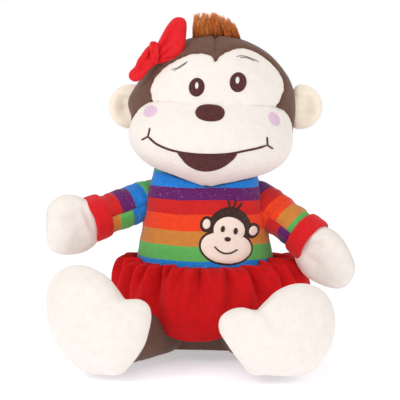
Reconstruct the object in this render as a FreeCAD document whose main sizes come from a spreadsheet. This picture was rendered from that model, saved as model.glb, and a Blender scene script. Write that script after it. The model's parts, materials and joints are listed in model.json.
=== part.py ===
# A seated stuffed monkey, made of sewn covers over loose filling.
# The monkey faces -Y, +Z is up, and the origin is on the flat underside of the seat.
# "left" and "right" are the monkey's own: its left side is at +X.
# Each limb ends in a ball that turns in a round recess of the same centre.
import FreeCAD
import Part

import os

from FreeCAD import Placement, Rotation, Vector

DIMENSIONS = {
    # cloth
    "cloth": 2.2,             # a cover with its pile
    "slack": 0.3,             # free space between parts that move on each other
    "thread": 0.9,            # how far embroidery stands up
    # head, before it is turned about the neck
    "head_turn": 5.5,
    "head_roll": 4.0,
    "cranium_wide": 58.0,
    "cranium_deep": 48.0,
    "cranium_high": 48.0,
    "cranium_y": 3.0,
    "cranium_z": 171.0,
    "muzzle_wide": 57.0,
    "muzzle_deep": 45.0,
    "muzzle_high": 33.0,
    "muzzle_y": -12.0,
    "muzzle_z": 150.5,
    "brow_wide": 26.0,
    "brow_high": 22.5,
    "brow_x": 17.5,
    "brow_mid_x": 2.0,
    "brow_z": 189.0,
    "face_seam_z": 175.0,
    "cheek_seam_y": -5.0,
    # neck
    "neck_y": 4.0,
    "neck_z": 122.0,
    "neck_ball": 10.0,
    "neck_tube": 13.0,
    "neck_band": 9.0,
    # ears
    "left_ear_z": 175.5,
    "right_ear_z": 167.5,
    "left_ear_x": 61.5,
    "right_ear_x": 60.5,
    "ear_y": 4.0,
    "ear_root": 4.2,
    "ear_high": 15.7,
    "ear_wide": 11.5,
    "ear_thick": 5.0,
    "ear_out": 5.0,
    # torso sections, from the seat up to the collar
    "seat_wide": 32.0,
    "seat_deep": 26.0,
    "hip_wide": 43.0,
    "hip_deep": 36.0,
    "hip_level": 20.0,
    "belly_wide": 48.0,
    "belly_deep": 39.5,
    "belly_level": 44.0,
    "waist_wide": 48.0,
    "waist_deep": 39.0,
    "waist_level": 64.0,
    "chest_wide": 43.0,
    "chest_deep": 33.5,
    "chest_level": 90.0,
    "shoulder_wide": 36.0,
    "shoulder_deep": 25.0,
    "shoulder_level": 106.0,
    "collar_wide": 23.0,
    "collar_deep": 16.5,
    "collar_level": 113.5,
    "side_seam_y": 3.0,
    "bag_wide": 25.0,
    "bag_deep": 17.0,
    "bag_high": 14.0,
    "bag_y": 12.0,
    "bag_z": 20.0,
    # skirt
    "skirt_wide": 70.0,
    "skirt_deep": 53.0,
    "skirt_high": 34.0,
    "skirt_level": 40.0,
    "skirt_cloth": 2.6,
    "skirt_hem": 15.0,
    "thigh_gap_z": 49.0,
    "thigh_gap_x": 12.5,
    "thigh_gap_y": 12.0,
    # patch
    "patch_x": 19.0,
    "patch_z": 87.5,
    "patch_wide": 20.0,
    "patch_high": 22.5,
    "patch_lean": -10.0,
    # arms, each along its own X axis from the shoulder
    "shoulder_x": 37.0,
    "shoulder_y": 3.0,
    "shoulder_z": 107.0,
    "sleeve_root": 13.6,
    "sleeve_end": 12.8,
    "sleeve_long": 47.0,
    "shoulder_ball": 8.5,
    "arm_long": 51.0,
    "cuff_start": 39.5,
    "cuff_outer": 15.5,
    "wrist_ball": 12.2,
    "hand_out": 17.0,
    "hand_long": 18.0,
    "hand_wide": 16.5,
    "hand_thick": 13.0,
    "thumb_out": 13.5,
    "thumb_up": 14.5,
    "thumb": 8.5,
    # legs, each along its own X axis from the hip
    "hip_x": 28.5,
    "hip_y": -20.0,
    "hip_z": 18.2,
    "leg_root": 17.6,
    "leg_end": 15.0,
    "leg_long": 69.0,
    "hip_ball": 11.0,
    "foot_out": 20.5,
    "foot_wide": 27.0,
    "foot_aside": 8.5,
    "foot_thick": 15.0,
    "foot_high": 34.0,
    "foot_up": 17.5,
    "toe_in": 17.5,
    "toe_up": 21.0,
    "toe_wide": 13.5,
    "toe_thick": 12.5,
    "toe_high": 16.5,
}

# How each limb lies at rest, in degrees: down from level, forward from sideways.
POSES = {
    "left": {"arm": (32.0, 25.0), "hand": (50.0, 27.0), "leg": (-1.0, 69.0), "foot": (-8.0, 81.0), "roll": 8.0},
    "right": {"arm": (15.5, 33.0), "hand": (18.0, 36.0), "leg": (-1.0, 69.0), "foot": (-8.0, 81.0), "roll": 0.0},
}
SIDES = {"left": 1, "right": -1}

# The ends of each limb's travel from rest, where the body is hollowed to make room: down, then forward.
ARM_TRAVEL = [(0, 0), (8, 0), (0, 15), (0, -22), (8, -22)]
LEG_TRAVEL = [(0, 0), (-20, 0), (0, 10), (0, -20), (-20, -20)]

FAR = 400.0     # longer than anything that a cutting block or rod has to pass through
X_AXIS = Vector(1, 0, 0)
Y_AXIS = Vector(0, 1, 0)
Z_AXIS = Vector(0, 0, 1)
UPRIGHT = Rotation(X_AXIS, 90)      # turns a drawing on the floor to face -Y

doc = FreeCAD.newDocument("stuffed_monkey")
sheet = doc.addObject("Spreadsheet::Sheet", "dims")
for row, (alias, value) in enumerate(DIMENSIONS.items(), start=1):
    sheet.set(f"A{row}", alias)
    sheet.set(f"B{row}", str(value))
    sheet.setAlias(f"B{row}", alias)
doc.recompute()

nodes = []


def size(alias):
    """The value in the sheet's cell of that name."""
    return float(sheet.get(alias))


def bind(obj, **expressions):
    """Binds properties to sums over the sheet. x, y and z stand for the placement's own."""
    for name, text in expressions.items():
        path = f"Placement.Base.{name}" if name in ("x", "y", "z") else name
        words = str(text).replace("(", " ( ").replace(")", " ) ").split()
        obj.setExpression(path, " ".join(f"dims.{w}" if w in DIMENSIONS else w for w in words))
    return obj


# How an ellipsoid's own axes are laid, by where its two poles are, and the radii that go with them.
# A panel's edge never runs through a pole, and the surface's own seam is kept out of sight.
POLES = {
    "x": (Rotation(Vector(1, 1, 1), 120), (0, 1, 2)),
    "y": (Rotation(X_AXIS, -90), (1, 0, 2)),
    "z": (Rotation(Z_AXIS, 90), (2, 1, 0)),
}


def ellipsoid(name, centre, radii, turn=Rotation(), poles="x"):
    lay, order = POLES[poles]
    obj = doc.addObject("Part::Ellipsoid", name)
    obj.Placement = Placement(Vector(), turn * lay)
    obj.Angle1, obj.Angle2, obj.Angle3 = -90, 90, 360
    bind(obj, Radius1=radii[order[0]], Radius2=radii[order[1]], Radius3=radii[order[2]])
    return bind(obj, x=centre[0], y=centre[1], z=centre[2])


def ball(name, centre, radius, poles="x"):
    turns = {"x": Rotation(Y_AXIS, 90), "y": Rotation(X_AXIS, -90)}
    obj = doc.addObject("Part::Sphere", name)
    obj.Placement = Placement(Vector(), turns[poles])
    bind(obj, Radius=radius)
    return bind(obj, x=centre[0], y=centre[1], z=centre[2])


def rod(name, centre, length, radii, turn=Rotation(Y_AXIS, 90)):
    """A cone between two radii, or a cylinder when they are the same. It runs along X unless turned."""
    same = radii[0] == radii[1]
    obj = doc.addObject("Part::Cylinder" if same else "Part::Cone", name)
    obj.Placement = Placement(Vector(), turn)
    if same:
        bind(obj, Radius=radii[0], Height=length)
    else:
        bind(obj, Radius1=radii[0], Radius2=radii[1], Height=length)
    return bind(obj, x=centre[0], y=centre[1], z=centre[2])


def block(name, low, high):
    """A box between two corners. A coordinate of None is out past everything."""
    obj = doc.addObject("Part::Box", name)
    low = [-FAR if v is None else v for v in low]
    high = [FAR if v is None else v for v in high]
    for side, start, end in zip(("Length", "Width", "Height"), low, high):
        bind(obj, **{side: f"({end}) - ({start})"})
    return bind(obj, x=low[0], y=low[1], z=low[2])


def oval(name, x, z, wide, high, slant=0.0, start=0.0, tall=False):
    """An oval rod seen as wide by high from the front, drawn out towards -Y from y = start."""
    flat = doc.addObject("Part::Ellipse", name + "_outline")
    flat.Placement = Placement(Vector(), UPRIGHT * Rotation(Z_AXIS, slant + (90 if tall else 0)))
    bind(flat, MajorRadius=high if tall else wide, MinorRadius=wide if tall else high)
    bind(flat, x=x, y=start, z=z)
    drawn = doc.addObject("Part::Extrusion", name)
    drawn.Base = flat
    drawn.DirMode = "Custom"
    drawn.Dir = Vector(0, -1, 0)
    drawn.LengthFwd = FAR
    drawn.Solid = True
    return drawn


def minus(name, base, *tools):
    cut = doc.addObject("Part::Cut", name)
    cut.Base = base
    cut.Tool = tools[0] if len(tools) == 1 else union(name + "_tools", *tools)
    return cut


def union(name, *shapes):
    fused = doc.addObject("Part::MultiFuse", name)
    fused.Shapes = list(shapes)
    return fused


def overlap(name, *shapes):
    common = doc.addObject("Part::MultiCommon", name)
    common.Shapes = list(shapes)
    return common


def node(label, obj, place=Placement()):
    """Marks an object as one of the monkey's pieces, with its own label and placement."""
    obj.Label = label
    nodes.append((obj, place))
    return obj


def along(sign, down, forward):
    """The turn that lays a limb's X axis outwards, down and forward, with its own Z axis kept up."""
    yaw = -forward if sign > 0 else 180 + forward
    return Rotation(Z_AXIS, yaw) * Rotation(Y_AXIS, down)


def head():
    """The head's covers and filling, built straight and then turned about the neck."""
    place = about_neck()

    def skull(name, extra, poles="x"):
        cranium = ellipsoid(
            name + "_cranium", (0, "cranium_y", "cranium_z"),
            (f"cranium_wide + {extra}", f"cranium_deep + {extra}", f"cranium_high + {extra}"), poles=poles)
        muzzle = ellipsoid(
            name + "_muzzle", (0, "muzzle_y", "muzzle_z"),
            (f"muzzle_wide + {extra}", f"muzzle_deep + {extra}", f"muzzle_high + {extra}"), poles=poles)
        return union(name, cranium, muzzle)

    neck_hole = ball("neck_hole", (0, "neck_y", "neck_z"), "neck_tube + slack")
    outer = skull("head_outer", "0")
    inner = skull("head_inner", "0 - cloth")
    grooves = []
    for side, sign in SIDES.items():
        grooves.append(rod(
            f"{side}_ear_groove",
            (f"{sign} * {side}_ear_x", "ear_y", f"{side}_ear_z - ear_high - 2"), "2 * ear_high + 4",
            ("ear_root + slack", "ear_root + slack"), Rotation()))
    cover = minus("head_cover", outer, inner, neck_hole, *grooves)
    filling = skull("head_fill", "0 - cloth", "y")
    node("head_stuffing", minus("head_filling", filling, neck_hole, *grooves), place)

    lobes = [
        oval(f"brow_{side}", f"{sign} * brow_x + brow_mid_x", "brow_z", "brow_wide", "brow_high")
        for side, sign in SIDES.items()
    ]
    above = block("above_face_seam", (None, None, "face_seam_z"), (None, 0, None))
    below = block("below_face_seam", (None, None, None), (None, "cheek_seam_y", "face_seam_z"))
    upper = overlap("brow_region", union("brow_lobes", *lobes), above)
    node("face_upper_panel", overlap("face_upper", cover, upper), place)
    node("muzzle_panel", overlap("muzzle", cover, below), place)
    crown = minus("crown", cover, upper, below)
    node("crown_left_panel", overlap(
        "crown_left", crown, block("left_half", (0, None, None), (None, None, None))), place)
    node("crown_right_panel", overlap(
        "crown_right", crown, block("right_half", (None, None, None), (0, None, None))), place)

    raised = minus("thread_layer", skull("head_thread", "thread"), outer)
    gleam = minus("gleam_layer", skull("head_gleam", "2 * thread"), skull("head_under", "thread"))

    def stitched(label, layer, *regions):
        region = regions[0] if len(regions) == 1 else union(label + "_regions", *regions)
        node(label, overlap(label + "_threads", layer, region), place)

    stitched("left_eye", raised, oval("left_pupil", 17.0, 191.5, 6.2, 6.9, tall=True))
    stitched("right_eye", raised, oval("right_pupil", -10.3, 186.5, 5.6, 6.6, tall=True))
    stitched("eye_highlights", gleam,
             oval("left_gleam", 15.5, 193.0, 1.9, 2.4, tall=True),
             oval("right_gleam", -10.3, 187.5, 1.9, 2.4, tall=True))
    stitched("nose", raised, oval("nose_oval", 0.0, 170.5, 10.0, 6.2))
    stitched("cheek_patches", raised,
             oval("left_blush", 42.3, 167.5, 5.0, 4.0), oval("right_blush", -40.5, 167.0, 5.0, 4.0))
    stitched("brow_threads", raised,
             *[arc(f"{side}_brow", sign * 19.5 + 3.0, 204.0, 7.5, 3.5, 0.8, True)
               for side, sign in SIDES.items()])
    smile = arc("smile", 0.0, 151.5, 40.0, 8.5, 1.7, False)
    stitched("mouth_line", raised, smile)
    gap = minus("mouth_gap", oval("mouth_oval", 0.0, 144.0, 21.0, 14.0), smile,
                block("above_mouth", (None, None, 143.6), (None, None, None)))
    stitched("mouth_fill", raised, gap)

    tuft = ellipsoid("tuft_lock", (1, -1, 221), (17, 6, 14), Rotation(Y_AXIS, 6))
    node("hair_tuft", minus("tuft", tuft, outer), place)
    knot = ellipsoid("bow_middle", (-43, -12, 205), (6, 6, 7), Rotation(Y_AXIS, -45))
    big = ellipsoid("bow_big", (-30, -11, 217), (12, 6.5, 14), Rotation(Y_AXIS, 40))
    small = ellipsoid("bow_small", (-53, -11, 193), (7.5, 5.5, 9), Rotation(Y_AXIS, 40))
    node("bow_knot", minus("bow_tie", knot, outer), place)
    node("bow_left_loop", minus("bow_upper", minus("bow_upper_seated", big, outer), knot), place)
    node("bow_right_loop", minus("bow_lower", minus("bow_lower_seated", small, outer), knot), place)


def arc(name, x, z, wide, high, width, upper):
    """A curved strip: one half of a ring between two ovals."""
    outside = oval(name + "_outside", x, z, wide, high)
    inside = oval(name + "_inside", x, z, wide - width, high - width)
    if upper:
        keep = block(name + "_half", (None, None, z), (None, None, None))
    else:
        keep = block(name + "_half", (None, None, None), (None, None, z))
    return overlap(name, minus(name + "_ring", outside, inside), keep)


def about_neck():
    turn = Rotation(Z_AXIS, size("head_turn")) * Rotation(Y_AXIS, size("head_roll"))
    return Placement(Vector(), turn, Vector(0, size("neck_y"), size("neck_z")))


def neck():
    """The neck's filling, and the cover round it. Both turn about the same middle."""
    middle = (0, "neck_y", "neck_z")
    node("neck_stuffing", ball("neck_core", middle, "neck_ball"))
    outside = ball("neck_outside", middle, "neck_tube")
    inside = ball("neck_inside", middle, "neck_ball + slack")
    low = block("below_neck", (None, None, None), (None, None, "neck_z - neck_band"))
    high = block("above_neck", (None, None, "neck_z + neck_band"), (None, None, None))
    node("neck_cover", minus("neck_ring", outside, inside, low, high), about_neck())


def ears():
    """Each ear is two discs of cloth sewn together, with a round root along its inner edge."""
    for side, sign in SIDES.items():
        x = f"{sign} * {side}_ear_x"
        z = f"{side}_ear_z"
        root = rod(f"{side}_ear_root", (x, "ear_y", f"{z} - ear_high + 3"), "2 * ear_high - 6",
                   ("ear_root", "ear_root"), Rotation())
        disc = ellipsoid(f"{side}_ear_disc", (f"{x} + {sign} * ear_out", "ear_y", z),
                         ("ear_wide", "ear_thick", "ear_high"), poles="y")
        hollow = ellipsoid(f"{side}_ear_hollow", (f"{x} + {sign} * 9", "ear_y - 9", z), (9, 8, 11.5))
        inner = block(f"{side}_ear_inner", (None, None, None), (f"{x} - ear_root / 2", None, None))
        if sign < 0:
            inner = block(f"{side}_ear_inner", (f"{x} + ear_root / 2", None, None), (None, None, None))
        whole = minus(f"{side}_ear", union(f"{side}_ear_body", root, disc), inner, hollow)
        front = block(f"{side}_ear_fore", (None, None, None), (None, "ear_y", None))
        node(f"{side}_ear_front", overlap(f"{side}_ear_f", whole, front), about_neck())
        node(f"{side}_ear_back", minus(f"{side}_ear_b", whole, front), about_neck())


def torso():
    """The body's filling, its shirt and its lower cover, with round recesses for neck and limbs."""
    def body(name, extra):
        rings = []
        for part in ("seat", "hip", "belly", "waist", "chest", "shoulder", "collar"):
            ring = doc.addObject("Part::Ellipse", f"{name}_{part}")
            level = {"seat": f"0 - ({extra})", "collar": f"collar_level + {extra}"}.get(part, f"{part}_level")
            bind(ring, MajorRadius=f"{part}_wide + {extra}", MinorRadius=f"{part}_deep + {extra}", z=level)
            rings.append(ring)
        loft = doc.addObject("Part::Loft", name)
        loft.Sections = rings
        loft.Solid = True
        return loft

    recesses = [ball("neck_recess", (0, "neck_y", "neck_z"), "neck_tube + slack")]
    for side, sign in SIDES.items():
        shoulder = (f"{sign} * shoulder_x", "shoulder_y", "shoulder_z")
        recesses.append(ball(f"{side}_armhole", shoulder, "sleeve_root + slack"))
        down, forward = POSES[side]["arm"]
        for number, (dip, swing) in enumerate(ARM_TRAVEL):
            recesses.append(rod(
                f"{side}_arm_room_{number}", shoulder, 30, ("sleeve_root + 2 * slack", "sleeve_root + 2 * slack"),
                along(sign, down + dip, forward + swing) * Rotation(Y_AXIS, 90)))
        hip = (f"{sign} * hip_x", "hip_y", "hip_z")
        recesses.append(ball(f"{side}_leg_recess", hip, "leg_root + slack"))
        down, forward = POSES[side]["leg"]
        for number, (dip, swing) in enumerate(LEG_TRAVEL):
            recesses.append(rod(
                f"{side}_leg_room_{number}", hip, 40, ("leg_root + 2 * slack", "leg_root + 2 * slack"),
                along(sign, down + dip, forward + swing) * Rotation(Y_AXIS, 90)))
    outer = body("body_outer", "0")
    inner = body("body_inner", "0 - cloth")
    bag = ellipsoid("pellets", (0, "bag_y", "bag_z"), ("bag_wide", "bag_deep", "bag_high"))
    node("pellet_bag", bag)
    cuts = union("body_recesses", *recesses)
    node("torso_stuffing", minus("body_filling", inner, cuts, bag))
    cover = minus("body_cover", outer, inner, cuts)
    waist = block("above_waist", (None, None, "waist_level"), (None, None, None))
    front = block("before_seam", (None, None, None), (None, "side_seam_y", None))
    shirt = overlap("shirt", cover, waist)
    node("lower_body_cover", minus("lower_cover", cover, waist))
    node("shirt_front_panel", overlap("shirt_front", shirt, front))
    node("shirt_back_panel", minus("shirt_back", shirt, front))

    lean = size("patch_lean")
    shape = oval("patch_outline", "patch_x", "patch_z", "patch_wide", "patch_high", lean, tall=True)
    felt = minus("patch_layer", body("body_patch", "1.0"), outer)
    node("patch_backing", overlap("patch", felt, shape))
    inside = oval("patch_inside", "patch_x", "patch_z", "patch_wide - 1.6", "patch_high - 1.6", lean, tall=True)
    rim = minus("patch_rim", shape, inside)
    face = oval("patch_muzzle", "patch_x + 0.5", "patch_z - 6", 11, 8, lean)
    sewn = minus("patch_thread_layer", body("body_patch_top", "1.8"), body("body_patch_under", "1.0"))
    node("patch_embroidery", overlap("patch_threads", sewn, union("patch_stitches", rim, face)))
    return outer


def skirt(torso_shape):
    """A gathered bubble skirt: an open shell that arches over the thighs."""
    def bubble(name, extra):
        return ellipsoid(name, (0, 0, "skirt_level"), (
            f"skirt_wide + {extra}", f"skirt_deep + {extra}", f"skirt_high + {extra}"), poles="z")

    cuts = [
        bubble("skirt_inside", "0 - skirt_cloth"),
        torso_shape,
        block("above_skirt", (None, None, "waist_level"), (None, None, None)),
        block("below_skirt", (None, None, None), (None, None, "skirt_hem")),
        block("left_thigh_gap", ("thigh_gap_x", None, None), (None, "thigh_gap_y", "thigh_gap_z")),
        block("right_thigh_gap", (None, None, None), ("0 - thigh_gap_x", "thigh_gap_y", "thigh_gap_z")),
    ]
    node("skirt", minus("bubble_skirt", bubble("skirt_outside", "0"), *cuts))


def tapered(name, root, end, long, extra):
    """A limb's bag: a ball at the root and a cone from it along X."""
    shaft = rod(name + "_shaft", (0, 0, 0), long, (f"{root} + {extra}", f"{end} + {extra}"))
    return shaft, ball(name + "_root", (0, 0, 0), f"{root} + {extra}")


def arm(side, sign):
    shoulder = Vector(sign * size("shoulder_x"), size("shoulder_y"), size("shoulder_z"))
    lay = along(sign, *POSES[side]["arm"])
    place = Placement(shoulder, lay)
    node(f"{side}_shoulder_stuffing", ball(
        f"{side}_shoulder_core", (f"{sign} * shoulder_x", "shoulder_y", "shoulder_z"), "shoulder_ball"))
    hollow = ball(f"{side}_shoulder_hollow", (0, 0, 0), "shoulder_ball + slack")
    wrist = ball(f"{side}_wrist_hollow", ("arm_long", 0, 0), "wrist_ball + slack")

    outer = union(f"{side}_sleeve_outer", *tapered(
        f"{side}_sleeve", "sleeve_root", "sleeve_end", "sleeve_long", "0"))
    inner = union(f"{side}_sleeve_inner", *tapered(
        f"{side}_arm_bag", "sleeve_root", "sleeve_end", "sleeve_long", "0 - cloth"))
    sleeve = minus(f"{side}_sleeve_cloth", outer, inner, wrist)
    above = block(f"{side}_over_arm", (None, None, 0), (None, None, None))
    node(f"{side}_sleeve_upper", overlap(f"{side}_sleeve_top", sleeve, above), place)
    node(f"{side}_sleeve_lower", minus(f"{side}_sleeve_under", sleeve, above), place)
    node(f"{side}_arm_stuffing", minus(f"{side}_arm_filling", inner, hollow, wrist), place)
    band = rod(f"{side}_cuff_band", ("cuff_start", 0, 0), "arm_long - cuff_start", ("cuff_outer", "cuff_outer"))
    node(f"{side}_cuff", minus(f"{side}_cuff_ring", band, outer, inner, wrist), place)

    hand_place = Placement(place.multVec(Vector(size("arm_long"), 0, 0)), along(sign, *POSES[side]["hand"]))

    def mitt(name, extra, poles):
        root = ball(name + "_root", (0, 0, 0), f"wrist_ball + {extra}", poles=poles)
        palm = ellipsoid(name + "_palm", ("hand_out", 0, 0), (
            f"hand_long + {extra}", f"hand_thick + {extra}", f"hand_wide + {extra}"), poles=poles)
        thumb = ball(name + "_thumb", ("thumb_out", 0, "thumb_up"), f"thumb + {extra}", poles=poles)
        return union(name, root, palm, thumb)

    outside = mitt(f"{side}_mitt", "0", "y")
    inside = mitt(f"{side}_mitt_inside", "0 - cloth", "y")
    cover = minus(f"{side}_hand_cloth", outside, inside)
    front = block(f"{side}_hand_fore", (None, None, None), (None, 0, None))
    if sign < 0:
        front = block(f"{side}_hand_fore", (None, 0, None), (None, None, None))
    node(f"{side}_hand_front", overlap(f"{side}_hand_f", cover, front), hand_place)
    node(f"{side}_hand_back", minus(f"{side}_hand_b", cover, front), hand_place)
    node(f"{side}_hand_stuffing", mitt(f"{side}_hand_filling", "0 - cloth", "x"), hand_place)


def leg(side, sign):
    hip = Vector(sign * size("hip_x"), size("hip_y"), size("hip_z"))
    place = Placement(hip, along(sign, *POSES[side]["leg"]))
    node(f"{side}_hip_stuffing", ball(
        f"{side}_hip_core", (f"{sign} * hip_x", "hip_y", "hip_z"), "hip_ball"))
    hollow = ball(f"{side}_hip_hollow", (0, 0, 0), "hip_ball + slack")

    def bag(name, extra):
        end = ball(name + "_end", ("leg_long", 0, 0), f"leg_end + {extra}")
        return union(name, end, *tapered(name, "leg_root", "leg_end", "leg_long", extra))

    outer = bag(f"{side}_leg_outer", "0")
    inner = bag(f"{side}_leg_inner", "0 - cloth")
    node(f"{side}_leg_cover", minus(f"{side}_leg_cloth", outer, inner), place)
    node(f"{side}_leg_stuffing", minus(f"{side}_leg_filling", inner, hollow), place)

    turn = along(sign, *POSES[side]["foot"]) * Rotation(X_AXIS, sign * POSES[side]["roll"])
    foot_place = Placement(place.multVec(Vector(size("leg_long"), 0, 0)), turn)
    inward = -sign      # the limb's own +Y points outwards on the left and inwards on the right

    def sock(name, extra, poles="x"):
        sole = ellipsoid(name + "_main", ("foot_out", f"{sign} * foot_aside", "foot_up"), (
            f"foot_thick + {extra}", f"foot_wide + {extra}", f"foot_high + {extra}"), poles=poles)
        toe = ellipsoid(name + "_toe", ("foot_out", f"{inward} * toe_in", "toe_up"), (
            f"toe_thick + {extra}", f"toe_wide + {extra}", f"toe_high + {extra}"), poles=poles)
        return union(name, sole, toe)

    ankle = ball(f"{side}_ankle_hollow", (0, 0, 0), "leg_end + slack")
    outside = sock(f"{side}_sock", "0")
    inside = sock(f"{side}_sock_inside", "0 - cloth")
    cover = minus(f"{side}_foot_cloth", outside, inside, ankle)
    fore = block(f"{side}_foot_fore", ("foot_out", None, None), (None, None, None))
    node(f"{side}_foot_sole", overlap(f"{side}_foot_f", cover, fore), foot_place)
    node(f"{side}_foot_upper", minus(f"{side}_foot_b", cover, fore), foot_place)
    filling = sock(f"{side}_sock_fill", "0 - cloth", "y")
    node(f"{side}_foot_stuffing", minus(f"{side}_foot_filling", filling, ankle), foot_place)


def check(obj):
    """Stops the build when a piece is broken."""
    if "Invalid" in obj.State or "Error" in obj.State:
        raise RuntimeError(f"{obj.Label}: {obj.State}")
    if obj.Shape.isNull() or not obj.Shape.isValid() or obj.Shape.Volume <= 0:
        raise RuntimeError(f"{obj.Label}: the shape is empty or broken")


head()
neck()
ears()
skirt(torso())
for side, sign in SIDES.items():
    arm(side, sign)
    leg(side, sign)
doc.recompute()
for obj, place in nodes:
    if not place.isIdentity():
        obj.Placement = place.multiply(obj.Placement)
doc.recompute()

os.makedirs("parts", exist_ok=True)
for obj, place in nodes:
    check(obj)
    obj.Shape.exportStep(f"parts/{obj.Label}.step")
    box = obj.Shape.BoundBox
    print(f"{obj.Label:22s} {len(obj.Shape.Solids)} solid(s) {obj.Shape.Volume / 1000:8.2f} cm3  "
          f"x {box.XMin:.1f} {box.XMax:.1f}  y {box.YMin:.1f} {box.YMax:.1f}  z {box.ZMin:.1f} {box.ZMax:.1f}")
print(len(nodes), "pieces")
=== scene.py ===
"""A seated stuffed monkey girl with a cream face, a striped shirt, and a red bubble skirt and bow.

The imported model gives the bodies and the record. Lengths here are millimetres in its own axes: the monkey
faces -Y, +Z is up, and "left" is the monkey's own left, at +X. Pieces become metres as they are made.
"""
import json
import math
import random

import bpy
import numpy as np
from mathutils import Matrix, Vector, kdtree, noise
from mathutils.bvhtree import BVHTree


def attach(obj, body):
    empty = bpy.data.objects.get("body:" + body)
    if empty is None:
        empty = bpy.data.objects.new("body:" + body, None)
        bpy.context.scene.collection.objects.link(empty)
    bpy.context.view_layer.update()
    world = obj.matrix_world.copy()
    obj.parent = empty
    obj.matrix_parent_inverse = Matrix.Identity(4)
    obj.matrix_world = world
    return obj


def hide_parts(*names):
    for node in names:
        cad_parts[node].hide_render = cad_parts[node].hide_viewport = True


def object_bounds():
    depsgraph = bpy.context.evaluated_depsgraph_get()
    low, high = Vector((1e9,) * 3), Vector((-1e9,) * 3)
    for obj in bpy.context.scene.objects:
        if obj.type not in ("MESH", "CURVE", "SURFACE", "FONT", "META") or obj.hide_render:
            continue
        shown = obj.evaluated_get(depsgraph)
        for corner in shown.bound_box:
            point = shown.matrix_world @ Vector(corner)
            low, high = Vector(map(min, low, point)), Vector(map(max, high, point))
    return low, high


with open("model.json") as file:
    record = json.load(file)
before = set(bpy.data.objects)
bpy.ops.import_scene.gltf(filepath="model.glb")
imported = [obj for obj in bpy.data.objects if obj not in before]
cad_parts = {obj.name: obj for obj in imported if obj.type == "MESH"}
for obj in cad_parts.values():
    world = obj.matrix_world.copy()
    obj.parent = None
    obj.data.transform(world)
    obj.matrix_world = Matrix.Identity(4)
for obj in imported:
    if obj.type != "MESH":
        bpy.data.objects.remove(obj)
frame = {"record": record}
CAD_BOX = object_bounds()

METRES = 0.001
RECORD = frame["record"]
BODY_OF = {node: body for body, nodes in RECORD["behaviour"]["bodies"].items() for node in nodes}
SIDES = {"left": 1, "right": -1}
ROUND = 2 * math.pi

# the head
# the ellipsoids, each with its middle and its half axes: the skull, the jowls, and the right temple
HEAD_FORMS = [((3.4, 3, 172), (56.8, 48, 50)), ((1.4, -12, 150.5), (57, 45, 33)),
              ((-6, 3, 170.5), (51.5, 38, 22))]
HEAD_HEART = np.array([0.0, -2.0, 166.0])       # every point of the head's skin is in sight of this one
NECK = np.array([0.0, 4.0, 122.0])
NECK_SOCKET = 13.3
EARS = {"left": (61.0, 4.0, 175.5), "right": (-54.0, 4.0, 167.5)}

# the limbs: how each lies, in degrees down from level and forward from sideways
LIMBS = {
    "left": {"arm": (32.0, 25.0), "hand": (50.0, 27.0), "leg": (-1.0, 69.0), "foot": (-8.0, 81.0),
             "roll": 8.0},
    "right": {"arm": (15.5, 33.0), "hand": (18.0, 36.0), "leg": (-1.0, 69.0), "foot": (-8.0, 81.0),
              "roll": 0.0},
}
SHOULDER = np.array([37.0, 3.0, 107.0])
SLEEVE_ROOT, SLEEVE_END, SLEEVE_LONG = 13.6, 12.8, 46.5
SLEEVE_INNER = 12.8             # the round root, where the shirt covers it
ARM_LONG, CUFF_START = 51.0, 39.5
HIP = np.array([28.5, -20.0, 18.2])
LEG_ROOT, LEG_END, LEG_LONG = 17.6, 15.0, 69.0
FOOT_OUT = 20.5

# the body: half width and half depth at each height
BODY_LEVELS = [0, 6, 20, 44, 64, 90, 103, 112, 121, 130]
BODY_WIDE = [31, 37, 42.5, 48, 48, 43.5, 41.3, 40.0, 37.0, 35.0]
BODY_DEEP = [27, 31, 36, 39.5, 39.3, 33.5, 29.0, 27.0, 25.0, 21.0]
WAIST = 64.0
SIDE_SEAM = 3.0

COVER_THICK, SKIRT_THICK = 1.2, 1.0


# ---------- places and turns

class Place:
    """Where a sub-assembly lies: its origin, and a turn whose columns are its axes."""

    def __init__(self, origin, turned):
        self.origin = np.asarray(origin, float)
        self.turned = turned

    def out(self, points):
        return np.asarray(points, float) @ self.turned.T + self.origin

    def into(self, points):
        return (np.asarray(points, float) - self.origin) @ self.turned


def about(axis, degrees):
    c, s = math.cos(math.radians(degrees)), math.sin(math.radians(degrees))
    if axis == "x":
        return np.array([[1, 0, 0], [0, c, -s], [0, s, c]])
    if axis == "y":
        return np.array([[c, 0, s], [0, 1, 0], [-s, 0, c]])
    return np.array([[c, -s, 0], [s, c, 0], [0, 0, 1]])


def along(sign, down, forward):
    """The turn that lays a limb's X axis outwards, down and forward, with its Z axis kept up."""
    yaw = -forward if sign > 0 else 180 + forward
    return about("z", yaw) @ about("y", down)


HERE = Place((0, 0, 0), np.eye(3))
HEAD_TURN = about("z", 5.5) @ about("y", 4.0)
HEAD = Place(NECK - HEAD_TURN @ NECK, HEAD_TURN)


def limb(side, part):
    """The place of an arm, hand, leg or foot."""
    sign = SIDES[side]
    mirror = np.array([sign, 1, 1])
    root, first, long = (SHOULDER, "arm", ARM_LONG) if part in ("arm", "hand") else (HIP, "leg", LEG_LONG)
    upper = Place(root * mirror, along(sign, *LIMBS[side][first]))
    if part == first:
        return upper
    turned = along(sign, *LIMBS[side][part])
    if part == "foot":
        turned = turned @ about("x", sign * LIMBS[side]["roll"])
    return Place(upper.out([long, 0, 0]), turned)


# ---------- shapes

def bell(off, wide):
    """1 in the middle, and fading over that width to either side."""
    return np.exp(-(off / wide) ** 2)


def clamp(values):
    """The values, kept between 0 and 1."""
    return np.clip(values, 0, 1)


def full_turn(columns):
    return np.linspace(0, ROUND, columns, endpoint=False)


def unit(v):
    v = np.asarray(v, float)
    return v / np.linalg.norm(v, axis=-1, keepdims=True)


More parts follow.
